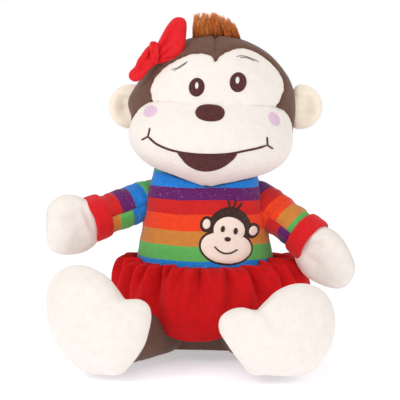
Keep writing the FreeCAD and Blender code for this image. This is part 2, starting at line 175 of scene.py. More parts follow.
def reach(ways, heart, forms, sharp=20):
    """How far the skin over some ellipsoids is from the heart along each way, with their joins filled."""
    total = 0
    for middle, radii in forms:
        start = (heart - np.array(middle, float)) / radii
        step = ways / np.array(radii, float)
        a = (step * step).sum(-1)
        b = (start * step).sum(-1)
        inside = b * b - a * ((start * start).sum() - 1)
        far = np.where(inside > 0, (np.sqrt(np.maximum(inside, 0)) - b) / a, 0)
        total = total + np.maximum(far, 0) ** sharp
    return total ** (1 / sharp)


def march(ways, heart, far, outside, step=1.0):
    """Shortens each ray to where outside(points) first turns positive."""
    ends = np.array(far, float)
    before = outside(heart + ways * 0.01)
    waiting = np.ones(len(ways), bool)
    for distance in np.arange(step, ends.max() + step, step):
        now = outside(heart + ways * distance)
        crossed = waiting & (now > 0)
        share = before / np.minimum(before - now, -1e-9)
        found = distance - step + step * clamp(share)
        ends[crossed] = np.minimum(ends[crossed], found[crossed])
        waiting &= ~crossed
        before = now
    return ends


def rod_gap(points, start, way, long, radius):
    """How deep inside a round-ended rod each point is; negative outside it."""
    along_it = np.clip((points - start) @ way, 0, long)
    return radius - np.linalg.norm(points - start - along_it[:, None] * way, axis=1)


def ripple(points, size, seed=0.0):
    """Smooth noise from -1 to 1 with lumps of about that size."""
    shift = Vector((seed * 7.3, seed * 3.1, seed * 5.7))
    return np.array([noise.noise(Vector(p) / size + shift) for p in points])


def nearness(points, line):
    """The distance from each point to a run of closely spaced points."""
    tree = kdtree.KDTree(len(line))
    for number, place in enumerate(line):
        tree.insert(place, number)
    tree.balance()
    return np.array([tree.find(p)[2] for p in points])


def stitch_in(points, lines, deep, wide, seed=0.0):
    """How far the skin is pulled in along seams, with the small gathers that run off them."""
    pull = np.zeros(len(points))
    uneven = 1 + 0.4 * ripple(points, 3.2, seed)
    gathers = ripple(points, 2.2, seed + 3)
    for number, line in enumerate(lines):
        away = nearness(points, line)
        depth = deep[number] if hasattr(deep, "__len__") else deep
        pull += depth * uneven * bell(away, wide)
        pull += 0.14 * depth * gathers * bell(away, 3 * wide)
    return pull


def curve(points, per=12, closed=False):
    """A smooth run of points through the given ones."""
    p = np.asarray(points, float)
    if closed:
        p = np.concatenate([p[-1:], p, p[:2]])
    else:
        p = np.concatenate([2 * p[:1] - p[1:2], p, 2 * p[-1:] - p[-2:-1]])
    t = np.linspace(0, 1, per, endpoint=False)[:, None]
    runs = []
    for a, b, c, d in zip(p, p[1:], p[2:], p[3:]):
        runs.append(0.5 * (2 * b + (c - a) * t + (2 * a - 5 * b + 4 * c - d) * t * t
                           + (3 * b - a - 3 * c + d) * t ** 3))
    if not closed:
        runs.append(p[-2:-1])
    return np.concatenate(runs)


def smooth_table(levels, values):
    """A smooth version of a short table, for np.interp."""
    run = curve(np.column_stack([levels, values]), per=240 // len(levels))
    return run[:, 0], run[:, 1]


# ---------- meshes

def quads(rows, columns, wrap, start=0):
    faces = []
    for r in range(rows - 1):
        for c in range(columns if wrap else columns - 1):
            a, b = r * columns + c, r * columns + (c + 1) % columns
            faces.append((start + a, start + b, start + b + columns, start + a + columns))
    return faces


def lay(rings, wrap, first=None, last=None):
    """Vertices and faces of a grid of rings, closed at either end round a single point."""
    rows, columns = rings.shape[:2]
    points = rings.reshape(-1, 3)
    faces = quads(rows, columns, wrap)
    for tip, row, forward in ((first, 0, False), (last, rows - 1, True)):
        if tip is None:
            continue
        points = np.concatenate([points, np.asarray(tip, float).reshape(1, 3)])
        for c in range(columns if wrap else columns - 1):
            a, b = row * columns + c, row * columns + (c + 1) % columns
            faces.append((a, b, len(points) - 1) if forward else (b, a, len(points) - 1))
    return points, faces


def outwards(points, faces, heart):
    """The faces, all turned over if they look towards the heart."""
    sample = faces[:: max(1, len(faces) // 400)]
    total = 0.0
    for face in sample:
        a, b, c = (points[i] for i in face[:3])
        total += float(np.cross(b - a, c - a) @ (a - heart))
    return faces if total > 0 else [tuple(reversed(f)) for f in faces]


def make(name, points, faces, material, place=HERE):
    mesh = bpy.data.meshes.new(name)
    mesh.from_pydata((place.out(points) * METRES).tolist(), [], faces)
    mesh.polygons.foreach_set("use_smooth", [True] * len(mesh.polygons))
    mesh.materials.append(material)
    mesh.update()
    obj = bpy.data.objects.new(name, mesh)
    bpy.context.scene.collection.objects.link(obj)
    return obj


def stands_for(obj, node):
    """The piece takes its node's body and place in the model."""
    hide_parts(node)
    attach(obj, BODY_OF[node])
    return obj


def thicken(obj, cloth):
    """Gives a sheet its cloth's thickness, inwards."""
    thick = obj.modifiers.new("cloth", "SOLIDIFY")
    thick.thickness = cloth * METRES
    thick.offset = -1


def cover(node, rings, wrap, material, heart, place=HERE, first=None, last=None, fill=0.8):
    """A sewn panel: one sheet of plush with a thickness, over the filling that swells it."""
    points, faces = lay(rings, wrap, first, last)
    obj = make("sewn_" + node, points, outwards(points, faces, heart), material, place)
    thicken(obj, COVER_THICK)
    return stands_for(obj, node)


def whole(name, node, rings, heart, material, place=HERE, ends=None):
    """A closed piece from rings that run from one pole to another."""
    points, faces = lay(rings, True, *(ends or (rings[0].mean(axis=0), rings[-1].mean(axis=0))))
    obj = make(name, points, outwards(points, faces, heart), material, place)
    return stands_for(obj, node)


def span(grid, start, end):
    """A panel of a closed grid, from one column to another, both included."""
    return grid[:, np.arange(start, end + 1) % grid.shape[1]]


def note(obj, name, values):
    """Keeps a number for each vertex, which a material reads."""
    layer = obj.data.attributes.new(name, "FLOAT", "POINT")
    layer.data.foreach_set("value", np.asarray(values, np.float32))


def globe(rows, columns):
    """Unit ways in rings round the Z axis, without its two poles."""
    down, turn = np.meshgrid(np.linspace(0, math.pi, rows + 2)[1:-1], full_turn(columns), indexing="ij")
    return np.stack([np.sin(down) * np.cos(turn), np.sin(down) * np.sin(turn), np.cos(down)], axis=2)


def filling(node, skin, heart, place=HERE, deep=3.0, material=None):
    """The loose filling under a skin: skin(ways) says how far out it is."""
    ways = globe(34, 60)
    flat = ways.reshape(-1, 3)
    out = skin(flat) - deep
    points = heart + flat * (out + 0.5 * ripple(flat * out[:, None], 6, 11))[:, None]
    poles = np.array([(0, 0, 1.0), (0, 0, -1.0)])
    ends = list(heart + poles * (skin(poles) - deep)[:, None])
    whole("filling_" + node, node, points.reshape(ways.shape), heart, material or FILL, place, ends=ends)


def pillow(outline, middle, bulges, seam=0.9, hug=2.6, root=0.0):
    """A stuffed shape sewn from two panels: for each, rings of (across, up, depth) from seam to middle.

    hug is how flat the middle is. root thickens the side that looks along -across, where a wrist goes
    into its cuff.
    """
    edge = curve(outline, 9, True)
    middle = np.asarray(middle, float)
    spokes = edge - middle
    far = np.linalg.norm(spokes, axis=1)[:, None]
    even = spokes / far * far.mean()
    fuller = hug + root * clamp(-spokes[:, 0] / far[:, 0]) ** 2
    panels = []
    for bulge in bulges:
        rings = [np.column_stack([middle + spokes * (1 - seam / far), np.zeros(len(edge))])]
        for share in np.cos(np.linspace(0.0, math.pi / 2, 34))[:-1]:
            blend = share ** 1.3
            at = middle + share * (blend * spokes + (1 - blend) * even)
            depth = bulge * np.maximum(1 - share ** fuller, 0) ** 0.55
            rings.append(np.column_stack([at, np.maximum(depth, 0.06 * bulge)]))
        panels.append(np.array(rings))
    return panels


def dent(points, at, long, wide, deep, lean=0.0):
    """How deep a soft valley is at each point of a panel, given its middle and which way it runs."""
    c, s = math.cos(math.radians(lean)), math.sin(math.radians(lean))
    off = points[:, :2] - np.asarray(at, float)
    run, side = off @ [c, s], off @ [-s, c]
    return deep * np.exp(-(run / long) ** 2 - (side / wide) ** 2)


def stuffed(nodes, core, panels, put, place, heart, seed, dents, room=None):
    """Sews a pillow's two panels, each pulled in by its dents, and puts the loose filling inside them.

    put turns (across, up, depth) into the place's axes. room moves the points out of a neighbour's way.
    """
    shaped = []
    for number, panel in enumerate(panels):
        flat = panel.reshape(-1, 3).copy()
        height = flat[:, 2] / flat[:, 2].max()
        pressed = flat * [1, 1, 0.3]
        rough = 0.55 * ripple(pressed, 9.0, seed + number) + 0.25 * ripple(pressed, 4.5, seed + 5)
        for valley in dents[number]:
            rough = rough - dent(flat, *valley)
        flat[:, 2] += rough * clamp(height * 2.5)
        solid = put(flat[:, 0], flat[:, 1], flat[:, 2] * (1 if number == 0 else -1))
        if room is not None:
            solid = room(solid)
        shaped.append(solid.reshape(panel.shape))
    for node, rings in zip(nodes, shaped):
        cover(node, rings, True, CREAM, heart, place, last=rings[-1].mean(axis=0))
    inner = np.concatenate([shaped[0][::-1][::3], shaped[1][1:][::3]])
    whole("filling_" + core, core, heart + (inner - heart) * 0.86, heart, FILL, place)


# ---------- materials

def colour(red, green, blue):
    """A colour as seen on a screen, turned into light."""
    seen = [c / 255 for c in (red, green, blue)]
    return (*[c / 12.92 if c <= 0.04045 else ((c + 0.055) / 1.055) ** 2.4 for c in seen], 1.0)


class Finish:
    """A material's nodes, made one after another."""

    def __init__(self, name, rough, sheen=0.0, sheen_rough=0.5, sheen_tint=None):
        self.material = bpy.data.materials.new(name)
        self.material.use_nodes = True
        self.tree = self.material.node_tree
        self.skin = self.tree.nodes["Principled BSDF"]
        self.skin.inputs["Roughness"].default_value = rough
        self.skin.inputs["Specular IOR Level"].default_value = 0.25
        self.skin.inputs["Sheen Weight"].default_value = sheen
        self.skin.inputs["Sheen Roughness"].default_value = sheen_rough
        if sheen_tint:
            self.skin.inputs["Sheen Tint"].default_value = sheen_tint
        self.where = self.add("ShaderNodeTexCoord").outputs["Object"]

    def add(self, kind, settings=None, **inputs):
        node = self.tree.nodes.new(kind)
        for key, value in (settings or {}).items():
            setattr(node, key, value)
        for key, value in inputs.items():
            self.put(node.inputs[key.replace("_", " ")], value)
        return node

    def put(self, socket, value):
        if isinstance(value, bpy.types.NodeSocket):
            self.tree.links.new(value, socket)
        else:
            socket.default_value = value

    def speckle(self, size, detail=2.0, rough=0.5):
        """Noise with lumps of that many millimetres."""
        return self.add("ShaderNodeTexNoise", Vector=self.where, Scale=1 / (size * METRES),
                        Detail=detail, Roughness=rough).outputs["Fac"]

    def ramp(self, value, stops, steps=False):
        node = self.add("ShaderNodeValToRGB", Fac=value)
        node.color_ramp.interpolation = "CONSTANT" if steps else "LINEAR"
        elements = node.color_ramp.elements
        while len(elements) < len(stops):
            elements.new(1.0)
        for element, (at, shade) in zip(elements, stops):
            element.position = at
            element.color = shade
        return node.outputs["Color"]

    def mix(self, share, first, second, kind="MIX"):
        node = self.add("ShaderNodeMix", {"data_type": "RGBA", "blend_type": kind})
        self.put(node.inputs["Factor"], share)
        self.put(node.inputs[6], first)
        self.put(node.inputs[7], second)
        return node.outputs[2]

    def math(self, kind, first, second=0.0):
        node = self.add("ShaderNodeMath", {"operation": kind})
        self.put(node.inputs[0], first)
        self.put(node.inputs[1], second)
        return node.outputs[0]

    def attribute(self, name):
        return self.add("ShaderNodeAttribute", {"attribute_name": name}).outputs["Fac"]

    def patchy(self, base, size, detail, dark, low=0.3, high=0.7):
        """The base colour with soft patches of that size, down to that share of it."""
        patches = self.ramp(self.speckle(size, detail), [(low, grey(dark)), (high, grey(1.0))])
        return self.mix(1.0, base, patches, "MULTIPLY")

    def bump(self, *layers):
        """Each layer is a height, how far it stands up in millimetres, and its strength."""
        normal = None
        for height, tall, strength in layers:
            node = self.add("ShaderNodeBump", Height=height, Distance=tall * METRES, Strength=strength)
            if normal is not None:
                self.tree.links.new(normal, node.inputs["Normal"])
            normal = node.outputs["Normal"]
        self.tree.links.new(normal, self.skin.inputs["Normal"])
        return self

    def nap(self):
        """The lie of the plush in soft lumps, and its fine grain."""
        self.bump((self.speckle(4.0, 2.0), 0.5, 0.25), (self.speckle(0.55, 3.0, 0.7), 0.16, 0.55))

    def paint(self, value):
        self.put(self.skin.inputs["Base Color"], value)
        return self


def grey(level):
    return (level, level, level, 1.0)


def plush(name, base, sheen=0.35, mottle=0.10):
    """Short-pile plush: a fine nap that lies this way and that in soft patches."""
    f = Finish(name, 0.92, sheen, 0.45, tuple(0.5 + 0.5 * c for c in base[:3]) + (1.0,))
    f.paint(f.patchy(f.patchy(base, 5.0, 3.0, 1 - mottle), 0.7, 2.0, 1 - 0.8 * mottle, 0.25, 0.75))
    f.nap()
    return f.material


STRIPE_COLOURS = [colour(28, 132, 222), colour(104, 28, 104), colour(214, 32, 30), colour(250, 68, 26),
                  colour(216, 136, 58), colour(98, 184, 92)]


def striped(name):
    """Printed stripes in a repeat of six, read from how far round the repeat each vertex is."""
    f = Finish(name, 0.9, 0.3, 0.45, grey(0.8))
    wander = f.math("MULTIPLY", f.math("SUBTRACT", f.speckle(2.5, 3.0), 0.5), 0.10)
    place = f.math("FRACT", f.math("DIVIDE", f.math("ADD", f.attribute("stripe"), wander), 6.0))
    stripes = f.ramp(place, [(number / 6, shade) for number, shade in enumerate(STRIPE_COLOURS)], steps=True)
    shade = f.patchy(f.patchy(stripes, 4.0, 3.0, 0.88), 0.6, 2.0, 0.84, 0.25, 0.75)
    flecks = f.ramp(f.speckle(0.8, 1.0), [(0.69, grey(0.0)), (0.75, grey(0.55))])
    lit = f.ramp(place, [(0.0, grey(0.9)), (1.9 / 6, grey(0.9)), (2.0 / 6, grey(0.15)), (1.0, grey(0.2))])
    f.paint(f.mix(f.math("MULTIPLY", flecks, lit), shade, colour(225, 222, 240)))
    f.nap()
    return f.material


def thread(name, base, stitch=0.55, slant=0.0, rough=0.55, deep=0.55):
    """Satin stitch: close parallel threads, with painted shade in the grooves between them and painted glints
    on them.
    """
    f = Finish(name, rough, 0.15, 0.4)
    turned = f.add("ShaderNodeMapping", Vector=f.where)
    turned.inputs["Rotation"].default_value = (0.0, math.radians(slant), 0.0)
    rows = f.add("ShaderNodeTexWave", {"bands_direction": "X"}, Vector=turned.outputs["Vector"],
                 Scale=ROUND / 20 / (stitch * METRES), Distortion=2.2, Detail=2.0, Detail_Scale=1.5)
    rows = rows.outputs["Fac"]
    # painted shade: the rows darken the base colour down to deep in the grooves between the threads
    shade = f.mix(1.0, base, f.ramp(rows, [(0.0, grey(deep)), (0.6, grey(1.0))]), "MULTIPLY")
    # painted glints: small spots of a lighter copy of the base colour, standing in for highlights
    glints = f.ramp(f.speckle(0.9, 2.0, 0.7), [(0.52, grey(0.0)), (0.75, grey(0.30))])
    f.paint(f.mix(glints, shade, tuple(0.55 * c + 0.25 for c in base[:3]) + (1.0,)))
    f.bump((rows, 0.3, 0.8), (f.speckle(0.9, 2.0), 0.25, 0.5))
    return f.material


def woven(name, base):
    """Thin woven cloth with a slight shine."""
    f = Finish(name, 0.6, 0.35, 0.35, tuple(0.4 + 0.6 * c for c in base[:3]) + (1.0,))
    across = f.add("ShaderNodeTexWave", {"bands_direction": "X"}, Vector=f.where, Scale=620.0).outputs["Fac"]
    up = f.add("ShaderNodeTexWave", {"bands_direction": "Z"}, Vector=f.where, Scale=620.0).outputs["Fac"]
    weave = f.math("MULTIPLY", across, up)
    f.paint(f.patchy(base, 3.0, 3.0, 0.86))
    f.bump((f.speckle(3.0, 2.0), 0.5, 0.3), (weave, 0.12, 0.5))
    return f.material


def pile(name):
    """Long fur whose strands differ in shade from root to tip and from each other."""
    f = Finish(name, 0.55, 0.3, 0.4, colour(235, 160, 90))
    f.paint(f.ramp(f.attribute("shade"), [(0.0, colour(120, 58, 26)), (0.3, colour(194, 102, 40)),
                                          (0.65, colour(230, 138, 66)), (1.0, colour(250, 190, 132))]))
    f.bump((f.speckle(0.4, 1.0), 0.1, 0.3))
    return f.material


CREAM = plush("cream_velboa", colour(243, 234, 225), 0.2, 0.06)
IVORY = plush("ear_velboa", colour(247, 234, 214), 0.2, 0.06)
BROWN = plush("brown_velboa", colour(112, 80, 66), 0.25, 0.14)
RED = plush("red_velboa", colour(222, 26, 32), 0.3, 0.12)
SKIRT_RED = plush("skirt_velboa", colour(214, 12, 18), 0.03, 0.16)
BOW_RED = woven("bow_satin", colour(226, 20, 30))
STRIPES = striped("striped_velboa")
MAROON = thread("maroon_thread", colour(92, 36, 34), 0.6)
DARK = thread("patch_thread", colour(66, 34, 26), 0.5)
WHITE = thread("white_thread", colour(255, 255, 255), 0.5, deep=0.85)
GREY = thread("grey_thread", colour(128, 124, 128), 0.3)
PINK = thread("pink_thread", colour(250, 214, 236), 0.5, 90.0, 0.75, 0.85)
FELT = plush("patch_felt", colour(248, 226, 212), 0.2, 0.06)
FUR = pile("tuft_fur")
FILL = plush("fill", colour(244, 243, 240), 0.2, 0.08)
PELLETS = plush("pellet_cotton", colour(240, 234, 220), 0.1, 0.08)


# ---------- the head

# The edge of the cream face in four runs, each between two corners: a notch beside each eye, the peak between
# the brows, and under the chin.
LEFT_NOTCH = (48.0, -25.5, 176.5)
PEAK = (1.0, -30.7, 204.6)
RIGHT_NOTCH = (-47.3, -28.3, 174.8)
UNDER_CHIN = (0.0, -5.0, 117.0)
FACE_EDGE = [
    [LEFT_NOTCH, (47.4, -22.5, 181.3), (48.8, -17.0, 187.7), (46.6, -12.6, 195.0), (39.4, -12.3, 202.9),
     (29.5, -12.3, 209.4), (20.0, -15.0, 212.2), (11.8, -21.0, 211.3), (5.0, -27.0, 208.0), PEAK],
    [PEAK, (-4.0, -27.0, 208.4), (-12.0, -25.0, 209.4), (-20.0, -24.2, 207.8), (-28.0, -24.0, 204.6),
     (-37.0, -23.0, 199.6), (-44.6, -23.0, 192.3), (-48.0, -25.0, 184.5), (-48.2, -27.5, 178.4), RIGHT_NOTCH],
    [RIGHT_NOTCH, (-51.0, -24.5, 171.4), (-55.0, -17.5, 164.3), (-56.2, -11.0, 155.5), (-55.0, -6.0, 144.0),
     (-42.0, -5.0, 127.0), (-20.0, -5.0, 118.5), UNDER_CHIN],
    [UNDER_CHIN, (20.0, -5.0, 118.5), (42.0, -5.0, 127.0), (55.0, -6.0, 144.0), (57.0, -8.0, 156.5),
     (56.4, -11.0, 165.5), (52.6, -19.0, 172.6), LEFT_NOTCH],
]
AROUND = 440        # columns round the face
FACE_ROWS = 70
CROWN_ROWS = 76


def head_skin(ways):
    """The head's skin before its seams are drawn in."""
    out = reach(ways, HEAD_HEART, HEAD_FORMS, 16) * 0.985

    def outside(points):
        gap = rod_gap(points, NECK, np.array([0, 0, 1.0]), 0, NECK_SOCKET)
        for x, y, z in EARS.values():
            root = np.array([x, y, z - 13.0])
            gap = np.maximum(gap, rod_gap(points, root, np.array([0, 0, 1.0]), 26.0, 4.4))
        return gap

    return march(ways, HEAD_HEART, out, outside, 1.5)


def jaw(points):
    """How far the jaw is drawn in, to narrow to a small point on the chin's seam."""
    aside = np.abs(points[:, 0] - 1.4)
    narrowed = 2.6 * bell(points[:, 2] - 120.0, 9.0) * clamp((aside - 4.0) / 22.0)
    point = 1.4 * bell(np.hypot(aside, points[:, 2] - 117.5), 6.0)
    return narrowed - point * (points[:, 1] < 0)


def head_grid():
    """Ways in rings round the middle of the dart under the eyes, with the face's edge as one of the rings.

    Returns the face's and the crown's ways, the two poles, and the columns of the four corners.
    """
    front = unit(np.array([2.0, -50.0, 175.5]) - HEAD_HEART)
    across = unit(np.cross([0, 0, 1], front))
    up = np.cross(front, across)
    turns, edges, corners = [], [], [0]
    for run in FACE_EDGE:
        ways = unit(np.array(run) - HEAD_HEART)
        away = np.arccos(ways @ front)
        turn = np.unwrap(np.arctan2(ways @ up, ways @ across))
        flat = curve(np.column_stack([away * np.cos(turn), away * np.sin(turn)]), 16)
        turn = np.unwrap(np.arctan2(flat[:, 1], flat[:, 0]))
        away = np.hypot(flat[:, 0], flat[:, 1])
        count = max(8, round(AROUND * (turn[-1] - turn[0]) / ROUND))
        wanted = np.linspace(turn[0], turn[-1], count, endpoint=False)
        turns.append(wanted)
        edges.append(np.interp(wanted, turn, away))
        corners.append(corners[-1] + count)
    turn, edge = np.concatenate(turns), np.concatenate(edges)
    sideways = np.cos(turn)[:, None] * across + np.sin(turn)[:, None] * up

    def ring(away):
        return np.cos(away)[:, None] * front + np.sin(away)[:, None] * sideways

    face = np.array([ring(edge * s) for s in np.linspace(0, 1, FACE_ROWS)[1:]])
    crown = np.array([ring(edge + (math.pi - edge) * s) for s in np.linspace(0, 1, CROWN_ROWS)[:-1]])
    return face, crown, front, -front, corners[:4]


def head():
    """Four panels and the filling. Returns the head's skin as a tree, to sew the features on."""
    face_ways, crown_ways, front, back, (left, peak, right, chin) = head_grid()
    ways = np.concatenate([face_ways.reshape(-1, 3), crown_ways.reshape(-1, 3), [front], [back]])
    base = HEAD_HEART + ways * head_skin(ways)[:, None]
    rows, columns = face_ways.shape[:2]
    face = base[: rows * columns].reshape(rows, columns, 3)
    crown = base[rows * columns: -2].reshape(-1, columns, 3)

    edge = face[-1]
    darts = [face[:, left][rows // 3:], face[:, right][rows // 3:]]
    faint_dart = np.concatenate([face[:, left], face[:, right]])
    centre = np.concatenate([crown[:, peak], crown[:, chin]])
    under_lip = face[int(rows * 0.72):, chin]
    pull = stitch_in(base, [edge, darts[0], darts[1], faint_dart, centre, under_lip],
                     [1.5, 0.7, 0.7, 0.35, 1.5, 0.8], 1.9, 1.0)
    pull += 0.35 * ripple(base, 16, 2.0) + jaw(base)
    pull += 1.6 * bell(nearness(base, [face[-1, left], face[-1, right]]), 7.0)      # the notches sit deeper
    skin = base - ways * pull[:, None]
    face = skin[: rows * columns].reshape(rows, columns, 3)
    crown = skin[rows * columns: -2].reshape(-1, columns, 3)
    front, back = skin[-2], skin[-1]

    for node, grid, start, end, cloth, tip in (
            ("face_upper_panel", face, left, right, CREAM, front),
            ("muzzle_panel", face, right, columns + left, CREAM, front),
            ("crown_right_panel", crown, peak, chin, BROWN, back),
            ("crown_left_panel", crown, chin, columns + peak, BROWN, back)):
        ends = {"first": tip} if grid is face else {"last": tip}
        cover(node, span(grid, start, end), False, cloth, HEAD_HEART, HEAD, **ends)
    filling("head_stuffing", head_skin, HEAD_HEART, HEAD, 4.5)

    points, faces = lay(np.concatenate([face, crown[1:]]), True, first=front)
    return BVHTree.FromPolygons([Vector(p) for p in points], faces)


def sewn_on(tree, x, z, lift):
    """The point of the head or the shirt in front of (x, z), lifted off it."""
    hit, normal, _, _ = tree.ray_cast(Vector((x, -200.0, z)), Vector((0, 1, 0)))
    if normal.y > 0:
        normal = -normal
    return np.array(hit + normal * lift)


def sewn_shape(tree, outline, height, rings=9, middle=None, low=0.0, edge=-0.5, round_off=5):
    """A filled shape inside a closed outline of (x, z) points, raised from low over its edge."""
    outline = np.asarray(outline, float)
    middle = outline.mean(axis=0) if middle is None else np.array(middle, float)
    rows = []
    for s in np.linspace(1.0, 0.0, rings + 1)[:-1]:
        lift = low + height * (1 - s ** round_off) ** 0.5 if s < 1 else edge
        rows.append([sewn_on(tree, x, z, lift) for x, z in middle + (outline - middle) * s])
    return lay(np.array(rows), True, last=sewn_on(tree, *middle, low + height))


def sewn_line(tree, run, wide, height, low=-0.35, taper=True):
    """A raised line of stitches along (x, z) points."""
    way = np.gradient(run, axis=0)
    side = unit(np.column_stack([-way[:, 1], way[:, 0]]))
    rows = []
    for number, (at, across) in enumerate(zip(run, side)):
        rest = min(number, len(run) - 1 - number) / (len(run) - 1)
        half = wide / 2 * (min(1.0, 0.45 + 9 * rest) if taper else 1.0)
        rows.append([sewn_on(tree, *(at + across * half * math.cos(t)), low + height * math.sin(t) ** 0.7)
                     for t in np.linspace(0, math.pi, 7)])
    return lay(np.array(rows), False)


def join(*parts):
    """Several sets of vertices and faces as one."""
    points, faces = [], []
    for p, f in parts:
        start = sum(len(q) for q in points)
        points.append(p)
        faces += [tuple(i + start for i in face) for face in f]
    return np.concatenate(points), faces


def oval(x, z, wide, high, lean=0.0, count=48):
    turn = full_turn(count)
    c, s = math.cos(math.radians(lean)), math.sin(math.radians(lean))
    across, up = wide * np.cos(turn), high * np.sin(turn)
    return np.column_stack([x + c * across - s * up, z + s * across + c * up])


def embroidery(node, shapes, material, place=HEAD, behind=HEAD_HEART):
    """One piece from several stitched shapes, all facing away from a point behind them."""
    points, faces = join(*[(p, outwards(p, f, behind)) for p, f in shapes])
    return stands_for(make("sewn_" + node, points, faces, material, place), node)


SMILE = [(-40.4, 150.8), (-37.5, 148.6), (-33.3, 146.1), (-24.5, 143.6), (-13.7, 142.4), (0.0, 142.5),
         (13.7, 144.0), (25.5, 146.8), (33.7, 148.9), (39.6, 150.9)]
OPEN_MOUTH = [(-21.5, 143.2), (-17.0, 142.6), (-8.0, 142.2), (1.0, 142.4), (10.0, 143.4), (17.0, 144.6),
              (20.8, 145.2), (19.2, 141.4), (16.0, 137.9), (12.2, 134.6), (7.2, 131.9), (0.0, 130.2),
              (-7.2, 130.9), (-13.6, 134.0), (-17.8, 138.2)]
NOSE = [(-10.4, 169.6), (-8.6, 173.4), (-4.4, 175.2), (0.6, 175.7), (5.8, 175.2), (9.2, 173.0), (10.0, 169.8),
        (8.4, 166.6), (4.6, 164.8), (0.0, 164.3), (-4.6, 164.7), (-8.6, 166.4)]


def face_trim(tree):
    """The stitched eyes, nose, mouth, cheeks and brows."""
    embroidery("left_eye", [sewn_shape(tree, oval(17.2, 191.2, 6.0, 7.0, -4), 0.9)], MAROON)
    embroidery("right_eye", [sewn_shape(tree, oval(-10.2, 186.0, 5.6, 6.6, -8), 0.9)], MAROON)
    embroidery("eye_highlights", [sewn_shape(tree, oval(16.5, 192.2, 1.5, 2.6, 0, 28), 1.5, 5),
                                  sewn_shape(tree, oval(-10.0, 186.9, 1.3, 2.5, 0, 28), 1.5, 5)], WHITE)
    embroidery("nose", [sewn_shape(tree, curve(NOSE, 5, True), 1.3, 12)], MAROON)
    embroidery("mouth_fill", [sewn_shape(tree, curve(OPEN_MOUTH, 4, True), 0.8, 12, (0, 137.5))], MAROON)
    ticks = [[(-39.6, 156.6), (-40.0, 153.6), (-40.5, 150.8)],
             [(-40.2, 151.0), (-42.2, 149.6), (-44.6, 147.9)],
             [(39.0, 156.2), (39.4, 153.4), (39.7, 150.8)],
             [(39.5, 151.0), (41.4, 149.8), (43.6, 148.5)]]
    lines = [sewn_line(tree, curve(SMILE, 12), 1.6, 1.1)]
    lines += [sewn_line(tree, curve(tick, 6), 1.3, 1.0) for tick in ticks]
    embroidery("mouth_line", lines, MAROON)
    embroidery("cheek_patches", [sewn_shape(tree, oval(-40.4, 167.3, 5.4, 3.7, 28), 0.35),
                                 sewn_shape(tree, oval(43.4, 168.0, 5.6, 3.6, -48), 0.35)], PINK)
    brows = [[(-28.3, 196.2), (-24.4, 197.6), (-20.0, 200.6), (-17.4, 202.4)],
             [(-26.6, 195.4), (-22.6, 197.9), (-18.4, 201.2)],
             [(14.8, 208.0), (19.2, 208.6), (24.6, 207.6), (30.5, 205.2)],
             [(17.5, 207.4), (22.0, 207.5), (27.5, 205.7)]]
    embroidery("brow_threads", [sewn_line(tree, curve(b, 8), 0.45, 0.75) for b in brows], GREY)


WISPS, STRANDS = 46, 2100
TUFT_MIDDLE, TUFT_WIDE, TUFT_DEEP = 1.0, 16.6, 4.4
STRAND_RINGS = 6


def tuft_wisps(draw):
    """The wisps from side to side: across, deep, how tall, the lean sideways and back, and the shade."""
    wisps = []
    for number in range(WISPS):
        across = -1 + 2 * (number + draw.uniform(0.1, 0.9)) / WISPS
        deep = draw.uniform(-0.8, 0.8)
        tall = draw.uniform(13.5, 17.5) - 3.0 * max(0.0, across) ** 2 + (1.5 if across < -0.85 else 0.0)
        lean = 0.02 - 0.30 * (across + 1) + 0.30 * max(0.0, across - 0.8) + draw.gauss(0, 0.09)
        wisps.append((across, deep, tall, lean, draw.gauss(-0.05, 0.14), draw.gauss(0, 0.09)))
    return wisps


def strand(root, tip, belly, wide, twist):
    """Rings of three points that thin from a strand's root to its tip."""
    points = []
    for s in np.linspace(0, 1, STRAND_RINGS):
        at = root + (tip - root) * s + (belly + [0, 0, 0.8]) * 4 * s * (1 - s)
        half = wide * (1 - 0.85 * s ** 1.5)
        for turn in twist + np.arange(3) * ROUND / 3:
            points.append(at + half * np.array([math.cos(turn), math.sin(turn), 0]))
    return points


def hair_tuft(tree):
    """A lock of long pile that stands up from the crown's seam in uneven wisps, leaning to its right."""
    draw = random.Random(5)
    wisps = tuft_wisps(draw)
    points, faces, shades = [], [], []
    for number in range(STRANDS):
        across, deep, tall, lean, back, tone = wisps[number % WISPS]
        x = TUFT_MIDDLE + TUFT_WIDE * min(1.0, max(-1.0, across + draw.gauss(0, 0.07)))
        y = TUFT_DEEP * (deep + draw.gauss(0, 0.22))
        hit, _, _, _ = tree.ray_cast(Vector((x, y, 260.0)), Vector((0, 0, -1)))
        root = np.array([x, y, hit.z - 1.0])
        tip = np.array([TUFT_MIDDLE + TUFT_WIDE * across + tall * lean, TUFT_DEEP * deep + tall * back,
                        hit.z - 1.0 + tall])
        tip += np.array([draw.gauss(0, 0.7), draw.gauss(0, 0.8), -abs(draw.gauss(0, 2.0))])
        belly = np.array([draw.gauss(0, 0.5), draw.gauss(0, 0.5), 0.0])
        wide = draw.uniform(0.24, 0.42)
        start, end = len(points), len(points) + 3 * (STRAND_RINGS - 1)
        points += strand(root, tip, belly, wide, draw.uniform(0, math.pi))
        tone += draw.gauss(0.0, 0.10)
        shades += list(np.repeat(clamp(0.16 + 0.66 * np.linspace(0, 1, STRAND_RINGS) + tone), 3))
        faces += quads(STRAND_RINGS, 3, True, start)
        faces += [(start + 2, start + 1, start), (end, end + 1, end + 2)]
    obj = make("fur_hair_tuft", np.array(points), faces, FUR, HEAD)
    note(obj, "shade", shades)
    stands_for(obj, "hair_tuft")


